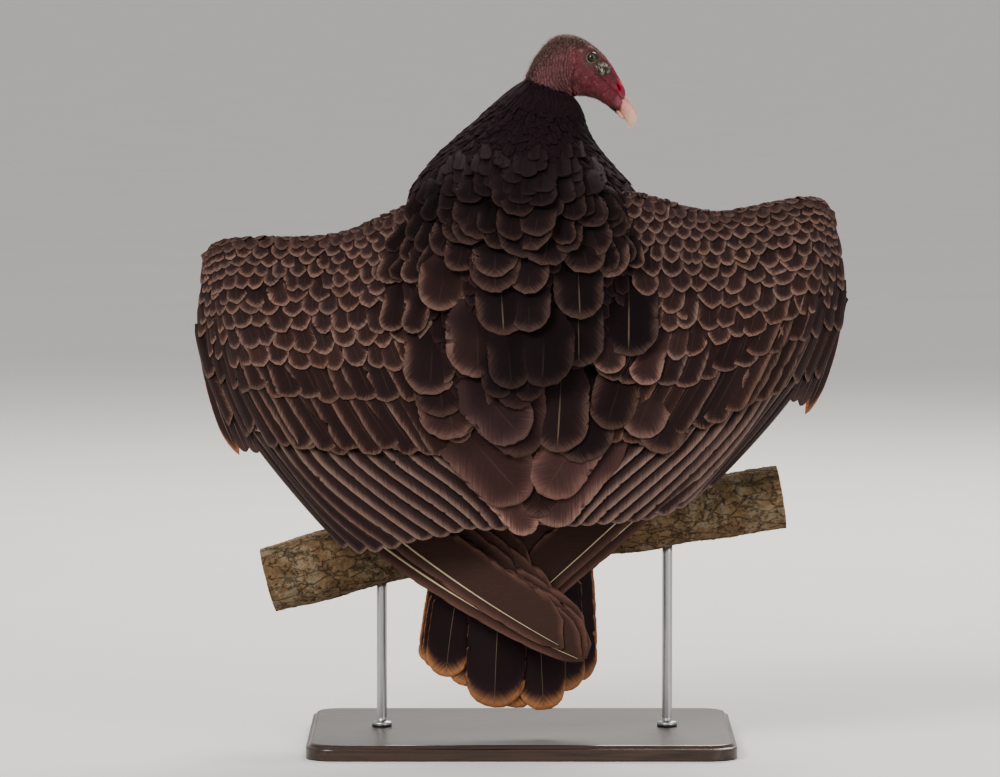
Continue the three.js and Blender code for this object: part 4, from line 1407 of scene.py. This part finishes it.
def bump_at(distance, centre, width):
    """A bump of height 1 at a distance from a line or spot."""
    return np.exp(-(((distance - centre) / width) ** 2))


def nostril_axes(x, z):
    """Places along and across the nostril, from its middle."""
    c, s = math.cos(NOSTRIL_TURN), math.sin(NOSTRIL_TURN)
    dx, dz = x - NOSTRIL[0], z - NOSTRIL[1]
    return dx * c + dz * s, dz * c - dx * s


def eye_ring(x, z):
    return np.hypot((x - EYE[0]) / 3.85, (z - EYE[1]) / 3.5)


def fold_lines(x, z, n1, n2):
    """From 0 in the grooves to 1 on the crests of the loose skin's folds, in arcs round the face."""
    return np.abs(np.sin((from_face(x, z) + 1.9 * n1 + 0.5 * n2) * np.pi / 2.5))


JAW_CREASE = [(44.2, 601), (42.2, 594), (43.4, 579)]
BROW = [(53.5, 619.5), (60, 621.6), (67.5, 617.5), (72, 612)]
WARTS, WART_SPOT, WART_SPREAD = 44, (70.0, 603.6), (3.6, 3.0)


def build_head():
    rows, sides = 210, 190
    v = np.linspace(0, len(HEAD) - 1, rows)
    grid = round_head(HEAD, v, np.arange(sides) * 2 * np.pi / sides)
    normal = grid_normals(grid)
    x, y, z = grid[..., 0], np.abs(grid[..., 1] - HEAD_Y), grid[..., 2]
    flat = grid.reshape(-1, 3)
    n1 = fractal(flat, 0.12, 3).reshape(x.shape)
    n2 = fractal(flat + 9, 0.35, 3).reshape(x.shape)
    side = smooth(5, 10, y)
    # folds of loose skin in arcs behind the face
    behind = smooth(17, 24, from_face(x, z)) * smooth(66, 52, x)
    out = behind * (0.85 * fold_lines(x, z, n1, n2) ** 0.6 - 0.45) * (0.6 + 0.6 * smooth(-0.3, 0.5, n1))
    finer = np.abs(np.sin((from_face(x, z) * 0.8 + 2.0 * n1 + z * 0.25) * np.pi / 1.5))
    out += behind * 0.08 * finer + 0.35 * n1 + 0.16 * n2
    # crease behind the jaw, and the cheek in front of it
    crease, _ = line_distance(x, z, JAW_CREASE)
    out += side * (-1.0 * bump_at(crease, 0, 1.0) + 0.5 * bump_at(crease, 3.2, 1.8))
    # ear fold
    ear = np.hypot((x - 47.5) / 3.6, (z - 604) / 5.0)
    out += side * (-1.1 * np.exp(-(ear**2) * 1.6) + 0.55 * bump_at(ear, 1.35, 0.35))
    # socket, lids and brow
    r = eye_ring(x, z)
    out += side * (-4.6 * (1 - smooth(0.80, 1.03, r)) + 1.15 * bump_at(r, 1.2, 0.16))
    out += side * (-0.45 * bump_at(r, 1.55, 0.16) + 0.5 * bump_at(r, 1.85, 0.2))
    brow, _ = line_distance(x, z, BROW)
    out += side * bump_at(brow, 0, 2.3)
    # the gape and the lower jaw
    gape, _ = line_distance(x, z, GAPE)
    out += smooth(3, 6, y) * (-0.7 * bump_at(gape, 0, 0.62) + 0.3 * bump_at(gape, 1.7, 0.8))
    # soft warts before and below the eye
    spots = np.random.default_rng(5)
    for _ in range(WARTS):
        wart_x, wart_z = (centre + spots.normal() * spread for centre, spread in zip(WART_SPOT, WART_SPREAD))
        size = 0.75 + 0.75 * spots.random()
        if eye_ring(wart_x, wart_z) >= 1.9:
            d = np.hypot(x - wart_x, z - wart_z) / size
            out += side * 0.75 * size * np.clip(1 - d**2, 0, None) ** 0.6
    # lip of skin round the nostril and over the root of the bill
    a, b = nostril_axes(x, z)
    nose = np.hypot(a / NOSTRIL_HALF[0], b / NOSTRIL_HALF[1])
    out += smooth(2, 4, y) * 0.5 * bump_at(nose, 1.45, 0.35)
    out += 0.45 * smooth(11.0, 11.6, v)[:, None] * (1 - smooth(11.75, 12, v))[:, None]
    return tube(grid + normal * out[..., None])


# ------------------------------------------------------------------ legs, feet and the skin as a whole

LEG_X, HEEL_Y, HEEL_Z, TARSUS = 43.0, -20.0, 282.0, 4.6
# each toe: its spread to the side, how far it wraps round the branch in radians, and its half thickness
TOES = {"outer": (17, 1.3, 4.6), "middle": (1, 1.78, 5), "inner": (-15, 1.25, 4.6), "hind": (-3, -0.85, 4.2)}
CLAW_LENGTH, CLAW_RADIUS = 14.0, 2.5


def swept(path, radii, sides, bump=None):
    """Rings round a path [R, 3]; bump(s, angle) adds to the radius. A quarter turn looks up or forward."""
    along = unit(np.gradient(path, axis=0))
    side = unit(np.cross(np.array([[1.0, 0, 0]]), along))
    other = np.cross(along, side)
    angle = np.arange(sides) * 2 * np.pi / sides
    s = np.linspace(0, 1, len(path))
    r = radii[:, None] + (bump(s[:, None], angle[None]) if bump else 0)
    sideways = side[:, None] * (np.sin(angle)[None] * r)[..., None]
    return path[:, None] + sideways + other[:, None] * (np.cos(angle)[None] * r)[..., None]


def build_shank(side, ankle):
    heel = np.array([side * LEG_X + side, HEEL_Y, HEEL_Z])
    s = np.linspace(0, 3, 90)
    path = through(np.array([ankle + [0, 0, -1], ankle * 0.5 + heel * 0.5, heel, heel + [0, 6, 18]]), s)
    radii = through([TARSUS * 1.08, TARSUS * 0.86, TARSUS * 1.06, TARSUS * 1.6], s)

    def scutes(t, a):
        plates = 0.42 * np.abs(np.sin(t * np.pi * 27)) ** 0.6 * smooth(-0.2, 0.6, np.sin(a)) * (t < 0.9)
        return plates + 0.16 * np.sin(t * 150) * np.sin(a * 9)

    return tube(swept(path, radii, 30, scutes))


def build_toe(side, spread, wrap, thick):
    t = np.linspace(0, 1, 64)
    across = side * (LEG_X + spread * np.sin(np.pi / 2 * t))
    at = on_branch(across, wrap * t, thick * (1 - 0.3 * t) + 0.2)
    radii = through(np.array([1, 0.92, 0.85, 0.7]) * thick, t * 3)
    joints = 3 if thick > 4.3 else 2

    def scales(u, a):
        up = np.sin(a) * np.sign(wrap)
        plates = 0.5 * np.abs(np.sin(u * np.pi * 15)) ** 0.6 * smooth(0.0, 0.7, -up)
        return plates - 0.35 * np.cos(u * 2 * np.pi * joints) * smooth(-0.3, 0.8, up)

    rounded = np.sqrt(np.clip(1 - np.clip((t - 0.93) / 0.075, 0, 1) ** 2, 0.02, 1))[:, None, None]
    return tube(at[:, None] + (swept(at, radii, 22, scales) - at[:, None]) * rounded)


def build_sole(ankle):
    polar, turn = np.linspace(0.05, np.pi - 0.05, 22), np.arange(30) * 2 * np.pi / 30
    polar, turn = np.meshgrid(polar, turn, indexing="ij")
    ball = np.stack([np.sin(polar) * np.cos(turn), np.sin(polar) * np.sin(turn), np.cos(polar)], -1)
    return tube(ball * [9.2, 10.2, 7.2] + ankle + [0, 1, 1])


def flesh_parts():
    """Closed meshes of the shanks, toes and soles."""
    for side in (1, -1):
        ankle = on_branch(side * LEG_X, 0.0, 7.0)
        yield build_shank(side, ankle)
        for spread, wrap, thick in TOES.values():
            yield build_toe(side, spread, wrap, thick)
        yield build_sole(ankle)


def boolean(obj, operation, verts, quads, tris):
    """Joins a closed mesh to an object or cuts it out."""
    other = outward(new_object("tool", verts, quads, tris))
    mod = obj.modifiers.new("cut", "BOOLEAN")
    mod.operation = operation
    mod.solver = "MANIFOLD"
    mod.object = other
    apply_modifiers(obj)
    bpy.data.objects.remove(other)


def nostril_bore(side):
    """A slanted oval from near the middle of the bill out through one side."""
    t = np.arange(40) * 2 * np.pi / 40
    c, s = math.cos(NOSTRIL_TURN), math.sin(NOSTRIL_TURN)
    a, b = np.cos(t) * (NOSTRIL_HALF[0] - 1.0), np.sin(t) * (NOSTRIL_HALF[1] - 0.45)
    oval = np.stack([NOSTRIL[0] + a * c - b * s, 0 * t, NOSTRIL[1] + a * s + b * c], 1)
    depths = HEAD_Y + side * np.linspace(2.2, 30, 9)
    return tube(oval[None] + depths[:, None, None] * np.array([0, 1, 0]))


def build_skin():
    """One skin for all the flesh: it lies under the coat, deeper where the body is thicker."""
    depth = np.zeros(len(guide_verts))
    for i, (p, n) in enumerate(zip(guide_verts, guide_normals)):
        hit = guide_tree.ray_cast(Vector(p - n * 0.6), Vector(-n), 60)
        depth[i] = min(6.5, 0.3 * (hit[3] if hit[0] is not None else 60))
    obj = new_object("skin", guide_verts - guide_normals * depth[:, None], np.array(guide_faces))
    mod = obj.modifiers.new("fewer", "DECIMATE")
    mod.ratio = 0.42
    apply_modifiers(obj)
    boolean(obj, "UNION", *build_head())
    for part in flesh_parts():
        boolean(obj, "UNION", *part)
    for side in (1, -1):
        boolean(obj, "DIFFERENCE", *nostril_bore(side))
    obj.data.polygons.foreach_set("use_smooth", np.ones(len(obj.data.polygons), bool))
    return obj


def distances(tree, points):
    return np.array([distance(tree, p) for p in points])


def paint_skin(obj):
    """Colour of the skin at each point, and marks that steer its grain."""
    p = verts_of(obj)
    x, y, z = p[:, 0], np.abs(p[:, 1] - HEAD_Y), p[:, 2]
    n1, n2 = fractal(p, 0.12, 3), fractal(p + 9, 0.35, 3)
    head = smooth(566, 573, z) * smooth(-1, 4, x)
    colour = np.tile(srgb(52, 40, 39), (len(p), 1))

    def lay(r, g, b, amount):
        """Lays a tint over what is there."""
        nonlocal colour
        amount = np.clip(amount, 0, 1)[:, None]
        colour = colour * (1 - amount) + srgb(r, g, b)[None] * amount

    def spot(centre_x, centre_z):
        return np.hypot(x - centre_x, z - centre_z)

    def line(*points):
        return line_distance(x, z, points)[0]

    side = smooth(4, 9, y)
    on_side = head * side
    face = from_face(x, z)
    nostril_x, nostril_z = NOSTRIL
    # face, throat and the red of the bill's root, with painted light along the lower jaw
    lay(96, 51, 55, head)
    lay(86, 54, 56, head * smooth(20, 30, face) * 0.95)
    lay(104, 48, 58, head * smooth(24, 12, spot(74, 588)) * 0.8)
    # painted light: a lighter band along the lower jaw and throat, as if lit from behind
    lay(110, 60, 62, head * smooth(9, 3, line((46, 582), (60, 579), (72, 573))) * 0.8)
    lay(132, 42, 58, head * smooth(9, 2, spot(88, 585)) * 0.7)
    lay(138, 80, 88, head * smooth(7, 1.5, line((92, 579), (86, 577), (83, 566))) * 0.6)
    lay(144, 38, 64, head * smooth(3.6, 0.8, line((62, 625), (76, 611), (86, 594), (91, 583))) * 0.6)
    rim = np.hypot((x - nostril_x) / 0.9, (z - nostril_z) / 1.3)
    lay(156, 34, 62, head * 0.85 * smooth(4.0, 2.2, rim))
    # dark crown, and a painted highlight on the crests and painted shade in the grooves of the folds behind
    # the face
    crown = line((2, 600), (14, 620), (28, 631), (42, 633), (52, 630))
    lay(56, 40, 37, head * smooth(14, 3, crown + 3 * n1) * 0.9)
    arcs = fold_lines(x, z, n1, n2)
    folded = head * smooth(17, 24, face) * smooth(68, 54, x)
    lay(140, 106, 106, folded * smooth(0.84, 1.0, arcs) * 0.38 * smooth(-0.5, 0.2, n2))
    lay(40, 23, 29, folded * smooth(0.55, 0.1, arcs) * 0.62)
    # painted shade in the crease behind the jaw, and the gape's dark line deepened with painted shade in its
    # groove
    lay(66, 28, 34, on_side * smooth(1.8, 0.4, line(*JAW_CREASE)) * 0.6)
    lay(80, 34, 40, head * smooth(1.2, 0.5, line(*GAPE)) * 0.5)
    # round the eye, its lids and its socket
    r = eye_ring(x, z)
    lay(84, 72, 66, on_side * smooth(3.2, 1.4, r + 0.5 * n1) * 0.7)
    below = 0.3 + 0.5 * smooth(1.5, -2.0, z - EYE[1])
    lay(112, 108, 92, on_side * smooth(0.24, 0.08, np.abs(r - 1.2)) * below)
    lay(30, 26, 24, on_side * smooth(1.06, 0.94, r))
    # pale warts on a dark patch
    wart = np.hypot((x - 70) / 8.5, (z - 603.8) / 6.6)
    lay(50, 50, 45, on_side * smooth(1.25, 0.75, wart + 0.2 * n1) * 0.85)
    lay(168, 164, 150, on_side * smooth(1.0, 0.5, wart) * smooth(-0.14, 0.14, n2) * 0.85)
    lay(160, 150, 148, on_side * smooth(2.4, 0.8, spot(50.5, 620)) * 0.25)
    # inside the nostril: the skin's red, brightened as painted light shining through the thin wall between
    # the nostrils
    bore = np.hypot((x - nostril_x) / 3.2, (z - nostril_z) / 5.0)
    lay(196, 60, 80, head * smooth(1.6, 0.9, bore) * smooth(6.8, 5.4, y))
    # legs and feet
    leg = smooth(290, 276, z) * (distances(core_tree, p) > 2.5)
    lay(186, 164, 156, leg)
    lay(150, 118, 112, leg * smooth(0.0, 0.3, n2) * 0.7)
    for name, value in (("paint", colour), ("bare", head), ("leg", leg)):
        mark(obj.data, name, value)


def skin_material():
    n = Nodes("skin")
    where = n.position()
    pores = n.cells(900, where)
    folds = n.noise(420, where, 5, 0.65, 0.4)
    veins = n.noise(150, where, 4, 0.6, 1.2)
    scales = n.cells(560, where, "DISTANCE_TO_EDGE")
    bare, leg = n.attribute("bare"), n.attribute("leg")
    base = n.shaded(n.attribute("paint", True), n.ramp(veins, 0.3, 0.7, 0.78, 1.24))
    # painted highlight: paler where the fine wrinkles of the bare skin rise
    base = n.mix(n.times(n.times(n.ramp(folds, 0.55, 0.75), bare), 0.3), base, srgb(196, 150, 140))
    base = n.mix(n.times(n.times(n.ramp(scales, 0.0, 0.12, 1.0, 0.0), leg), 0.5), base, srgb(96, 76, 70))
    height = n.plus(n.times(pores, 0.5), folds)
    height = n.plus(height, n.times(n.times(n.ramp(scales, 0.0, 0.15), leg), 1.2))
    n.put(Base_Color=base, Roughness=n.ramp(folds, 0.25, 0.75, 0.58, 0.78))
    n.put(Normal=n.bump(height, 0.7, 0.0007))
    n.put(Subsurface_Weight=0.06, Subsurface_Scale=0.002, Specular_IOR_Level=0.2)
    n.shader.inputs["Subsurface Radius"].default_value = (1.0, 0.35, 0.25)
    return n.material


skin = build_skin()
paint_skin(skin)
finish(skin, "bare_skin", skin_material(), "trunk", "neck", "head", "wing_right_arm", "wing_left_arm",
       "thigh_right", "thigh_left", "tarsus_right", "tarsus_left", "foot_right", "foot_left")


# ------------------------------------------------------------------ eyes, bill and claws

BRISTLES = 2600


def bristles():
    """Sparse hair-like bristles of the crown, nape and throat, as closed three-sided prisms."""
    n = BRISTLES
    v = 0.2 + 8.6 * rng.random(n) ** 0.95
    turn = np.pi / 2 + rng.normal(size=n) * 0.62
    low = rng.random(n) < 0.12
    turn = np.where(low, -np.pi / 2 + rng.normal(size=n) * 0.5, turn)
    v = np.where(low, 3 + 5 * rng.random(n), v)
    at = profile(HEAD, v, turn)
    wider = HEAD * [1, 1, 1, 1, 1.1]
    middle = [through(HEAD[:, [0, 2]].mean(1), v), np.full(n, HEAD_Y), through(HEAD[:, [1, 3]].mean(1), v)]
    out = unit(profile(wider, v, turn) - np.stack(middle, -1))
    backward = unit(at - profile(HEAD, v + 0.2, turn))
    lie = unit(out * 0.75 + backward * 0.65 + rng.normal(size=(n, 3)) * 0.22)
    long = (1.8 + 2.0 * rng.random(n)) * np.where(low, 0.6, 1.0) * (1 - 0.45 * smooth(6.5, 9, v))
    steps = np.linspace(0, 1, 4)
    path = (at - out * 0.7)[:, None] + lie[:, None] * (steps[None] * (long + 0.7)[:, None])[..., None]
    path = path + backward[:, None] * (steps[None, :] ** 2 * 0.5)[..., None]
    side = unit(np.cross(lie, backward + [0.01, 0.3, 0]))[:, None, None]
    other = np.cross(lie, side[:, 0, 0])[:, None, None]
    angle = np.arange(3) * 2 * np.pi / 3
    c, s = np.cos(angle)[None, None, :, None], np.sin(angle)[None, None, :, None]
    ring = path[:, :, None] + (0.12 * (1 - 0.75 * steps))[None, :, None, None] * (side * c + other * s)
    points = ring.shape[1] * ring.shape[2]
    step = np.arange(n)[:, None, None] * points
    quads = (grid_faces(4, 3, True)[None] + step).reshape(-1, 4)
    tris = (np.array([[0, 2, 1], [9, 10, 11]])[None] + step).reshape(-1, 3)
    home = np.stack([0.02 + 0.96 * ((turn / (2 * np.pi)) % 1), 0.02 + 0.9 * v / 12], 1)
    local = np.tile(np.stack([np.tile(angle / 6.3, 4), np.repeat(steps, 3)], 1), (n, 1))
    tone = tinted(srgb(108, 82, 74), n, 0.25) * (1 - 0.4 * smooth(4, 7, v))[:, None]
    unwrap = {"OFBake": np.repeat(home, points, 0) + PATCH * (local - 0.5)}
    marks = {"coat": np.repeat(tone, points, 0)}
    return outward(new_object("head_bristles", ring.reshape(-1, 3), quads, tris, marks, unwrap))


def bristle_material():
    n = Nodes("bristle")
    grain = n.noise(700, None, 3)
    n.put(Base_Color=n.shaded(n.attribute("coat", True), n.ramp(grain, 0.3, 0.7, 0.8, 1.2)))
    n.put(Roughness=n.ramp(grain, 0.2, 0.8, 0.45, 0.6), Normal=n.bump(grain, 0.2, 0.0002))
    return n.material


finish(bristles(), "plumage", bristle_material())


def horn_material(name, dark, light, low, high, rough, glow=0.0):
    """Horn shaded along its length from the attribute root (0 to 1)."""
    n = Nodes(name)
    where = n.position()
    streak = n.noise(500, where, 5, 0.7, 0.8)
    cloud = n.noise(130, where, 4)
    base = n.mix(n.ramp(n.plus(n.attribute("root"), n.times(cloud, 0.25)), low, high), dark, light)
    base = n.mix(n.times(n.ramp(streak, 0.5, 0.7), 0.25), base, dark * 0.7)
    n.put(Base_Color=base, Roughness=n.ramp(streak, 0.2, 0.8, rough - 0.06, rough + 0.1))
    n.put(Normal=n.bump(streak, 0.25, 0.0004))
    n.put(Subsurface_Weight=glow, Subsurface_Scale=0.004, Coat_Weight=0.15, Coat_Roughness=0.25)
    return n.material


def build_bill(name, rows, start, sides, node):
    v = np.linspace(start, len(rows) - 1, 90)
    turn = np.arange(sides) * 2 * np.pi / sides
    grid = round_head(rows, v, turn)
    normal = grid_normals(grid)
    grid = grid + normal * (0.07 * np.sin(v * 21) + 0.05 * np.sin(v * 9 + 1))[:, None, None]
    # a thin lip along the cutting edge
    lip = 0.28 * bump_at(np.sin(turn), -0.72, 0.14) * (smooth(0.2, 1.0, v) * smooth(6, 4.5, v))[:, None]
    verts, quads, tris = tube(grid + normal * lip[..., None])
    root = np.concatenate([np.repeat((v - start) / (v[-1] - start), sides), [0, 1]])
    finish(outward(new_object(name, verts, quads, tris, {"root": root})), "bill", ivory, node)


ivory = horn_material("bill", srgb(190, 128, 122), srgb(224, 186, 166), 0.1, 0.8, 0.34, 0.2)
build_bill("bill_hook", BILL_UPPER, -0.45, 72, "bill_upper")
build_bill("bill_under", BILL_LOWER, -0.5, 56, "bill_lower")


def eye_material():
    """Pupil, brown iris and dark rim, by the distance from the eye's own axis."""
    n = Nodes("eye")
    r = n.attribute("out")
    fibres = n.noise(900, n.position(), 4, 0.7)
    base = n.mix(n.ramp(r, 0.30, 0.36), (0.004, 0.004, 0.005), srgb(78, 68, 52))
    base = n.mix(n.times(n.ramp(fibres, 0.4, 0.7), n.ramp(r, 0.34, 0.45)), base, srgb(50, 42, 32))
    base = n.mix(n.ramp(r, 0.60, 0.68), base, srgb(22, 17, 14))
    n.put(Base_Color=base, Roughness=n.ramp(fibres, 0.2, 0.8, 0.16, 0.24), Normal=n.bump(fibres, 0.1, 0.0001))
    n.put(Coat_Weight=0.3, Coat_Roughness=0.06, Specular_IOR_Level=0.3)
    return n.material


def build_eye(name, side):
    polar = np.linspace(0.03, np.pi - 0.03, 40)
    P, T = np.meshgrid(polar, np.arange(48) * 2 * np.pi / 48, indexing="ij")
    bulge = EYE_RADIUS + 0.35 * np.exp(-((P / 0.5) ** 2))
    ball = np.stack([np.sin(P) * np.cos(T), side * np.cos(P), np.sin(P) * np.sin(T)], -1) * bulge[..., None]
    verts, quads, tris = tube(ball + [EYE[0], HEAD_Y + side * EYE_OUT, EYE[1]])
    out = np.concatenate([np.where(P < np.pi / 2, np.sin(P), 1.0).ravel(), [0, 1]])
    finish(outward(new_object(f"eyeball_{name}", verts, quads, tris, {"out": out})), "eye", eye_glass, name)


eye_glass = eye_material()
build_eye("eye_right", -1)
build_eye("eye_left", 1)


def build_talon(name, side, toe):
    """A curved claw that goes on from its toe round the branch."""
    spread, wrap, _ = TOES[toe]
    x = side * LEG_X
    s = np.linspace(-0.32, 1, 40)
    reach = CLAW_LENGTH / (branch_radius(x) + 6)
    lift = 4.4 + 2.6 * np.sin(np.clip(s + 0.2, 0, 1.2) * np.pi / 1.2) - 2.9 * np.clip(s, 0, 1) ** 2
    path = on_branch(x + side * spread + 0 * s, wrap + math.copysign(1, wrap) * reach * s, lift)
    radii = CLAW_RADIUS * 1.12 * np.clip(1 - np.clip(s, 0, 1) ** 1.25, 0.05, 1)
    verts, quads, tris = tube(swept(path, radii, 24, lambda u, a: 0.12 * np.sin(a * 2) * radii[:, None]))
    root = np.concatenate([np.repeat(np.linspace(0, 1, len(s)), 24), [0, 1]])
    talon = outward(new_object(f"talon_{name}_{toe}", verts, quads, tris, {"root": root}))
    finish(talon, "claw", horn, f"claw_{name}_{toe}")


horn = horn_material("claw", srgb(92, 78, 68), srgb(34, 29, 27), 0.1, 0.5, 0.36)
for name, side in (("right", 1), ("left", -1)):
    for toe in TOES:
        build_talon(name, side, toe)


# ------------------------------------------------------------------ display stand

BASE_WIDTH, BASE_DEPTH, BASE_HEIGHT, BASE_CORNER = 380.0, 290.0, 14.0, 26.0
ROD_RADIUS = 4.5


# the base's edge from below: how far it is set in, and its height
BASE_EDGE = [
    (1.2, 0.0), (0.25, 0.35), (0, 1.2), (0, 9.5), (0.35, 10.4), (1.4, 10.9), (2.6, 11.3), (3.6, 12.6),
    (4.6, 13.6), (6.0, BASE_HEIGHT),
]
# the foot of each rod: its radius, and its height over the base
ROD_FOOT = [(8.6, 0), (9.0, 0.1), (9.0, 3.2), (8.2, 4.0), (6.0, 4.3), (ROD_RADIUS, 4.6)]


def slab_loop(inset, z, per=18):
    """A rectangle with round corners."""
    w, d = BASE_WIDTH / 2 - inset, BASE_DEPTH / 2 - inset
    r = BASE_CORNER - inset
    points = []
    for cx, cy, start in ((w - r, d - r, 0), (-w + r, d - r, 1), (-w + r, -d + r, 2), (w - r, -d + r, 3)):
        a = (start + np.linspace(0, 1, per)) * np.pi / 2
        points.append(np.stack([cx + r * np.cos(a), cy + r * np.sin(a), 0 * a + z], 1))
    return np.concatenate(points)


def build_base():
    rings = [slab_loop(inset, z) for inset, z in BASE_EDGE]
    middle = np.array([[0, 0, BASE_HEIGHT]])
    top = [middle + (rings[-1] - middle) * share for share in (0.8, 0.6, 0.4, 0.2)]
    bottom = [rings[0] * [share, share, 1] for share in (0.25, 0.5, 0.75)]
    verts, quads, tris = tube(np.array(bottom + rings + top) - SHIFT)
    return outward(new_object("stand_plinth", verts, quads, tris, shade=False))


def lacquer_material():
    n = Nodes("lacquer")
    where = n.position()
    grain = n.noise(1.0, n.stretched(where, 6, 120, 120), 6, 0.65, 1.5)
    cloud = n.noise(9, where, 4)
    base = n.mix(n.ramp(grain, 0.35, 0.7), srgb(38, 28, 24), srgb(78, 56, 44))
    base = n.mix(n.times(cloud, 0.3), base, srgb(52, 36, 30))
    n.put(Base_Color=base, Roughness=n.ramp(cloud, 0.3, 0.7, 0.3, 0.42), Normal=n.bump(grain, 0.15, 0.0004))
    n.put(Coat_Weight=0.3, Coat_Roughness=0.2)
    return n.material


def steel_material():
    n = Nodes("steel")
    brushed = n.noise(1.0, n.stretched(n.position(), 260, 260, 2600), 4, 0.6)
    cloud = n.noise(24, None, 3)
    n.put(Base_Color=n.mix(brushed, (0.36, 0.36, 0.37), (0.52, 0.52, 0.52)), Metallic=0.95)
    n.put(Roughness=n.ramp(n.plus(brushed, cloud), 0.6, 1.4, 0.26, 0.42), Normal=n.bump(brushed, 0.2, 0.0002))
    return n.material


def build_rod(name):
    """A rod with a foot plate, whose top end follows the branch's underside."""
    low, high = (np.array(corner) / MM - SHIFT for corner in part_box(f"stand_rod_{name}"))
    middle = (low + high) / 2
    sections = [(radius, low[2] + over) for radius, over in ROD_FOOT]
    sections += [(ROD_RADIUS, z) for z in np.linspace(low[2] + 8, high[2], 24)]
    angle = np.arange(48) * 2 * np.pi / 48
    rings = np.array([
        np.stack([middle[0] + r * np.cos(angle), middle[1] + r * np.sin(angle), 0 * angle + z], 1)
        for r, z in sections])
    x, y = rings[-1, :, 0], rings[-1, :, 1]
    underside = branch_height(x) - np.sqrt(np.maximum(branch_radius(x) ** 2 - y**2, 0)) + 0.5
    rings[-1, :, 2] = np.maximum(underside, rings[-2, :, 2] + 0.5)
    verts, quads, tris = tube(rings)
    rod = outward(new_object(f"stand_post_{name}", verts, quads, tris))
    finish(rod, "rod", steel, f"stand_rod_{name}")


finish(build_base(), "base", lacquer_material(), "stand_base")
steel = steel_material()
build_rod("right")
build_rod("left")


# ------------------------------------------------------------------ floor

bpy.data.objects.remove(guide)
bpy.ops.mesh.primitive_plane_add(size=240, location=(0, 0, 0))
floor = bpy.context.object
floor.name = "floor"
n = Nodes("floor")
grain = n.noise(3.0, None, 4)
n.put(Base_Color=n.mix(grain, (0.74, 0.73, 0.71), (0.80, 0.79, 0.77)), Roughness=0.85)
floor.data.materials.append(n.material)
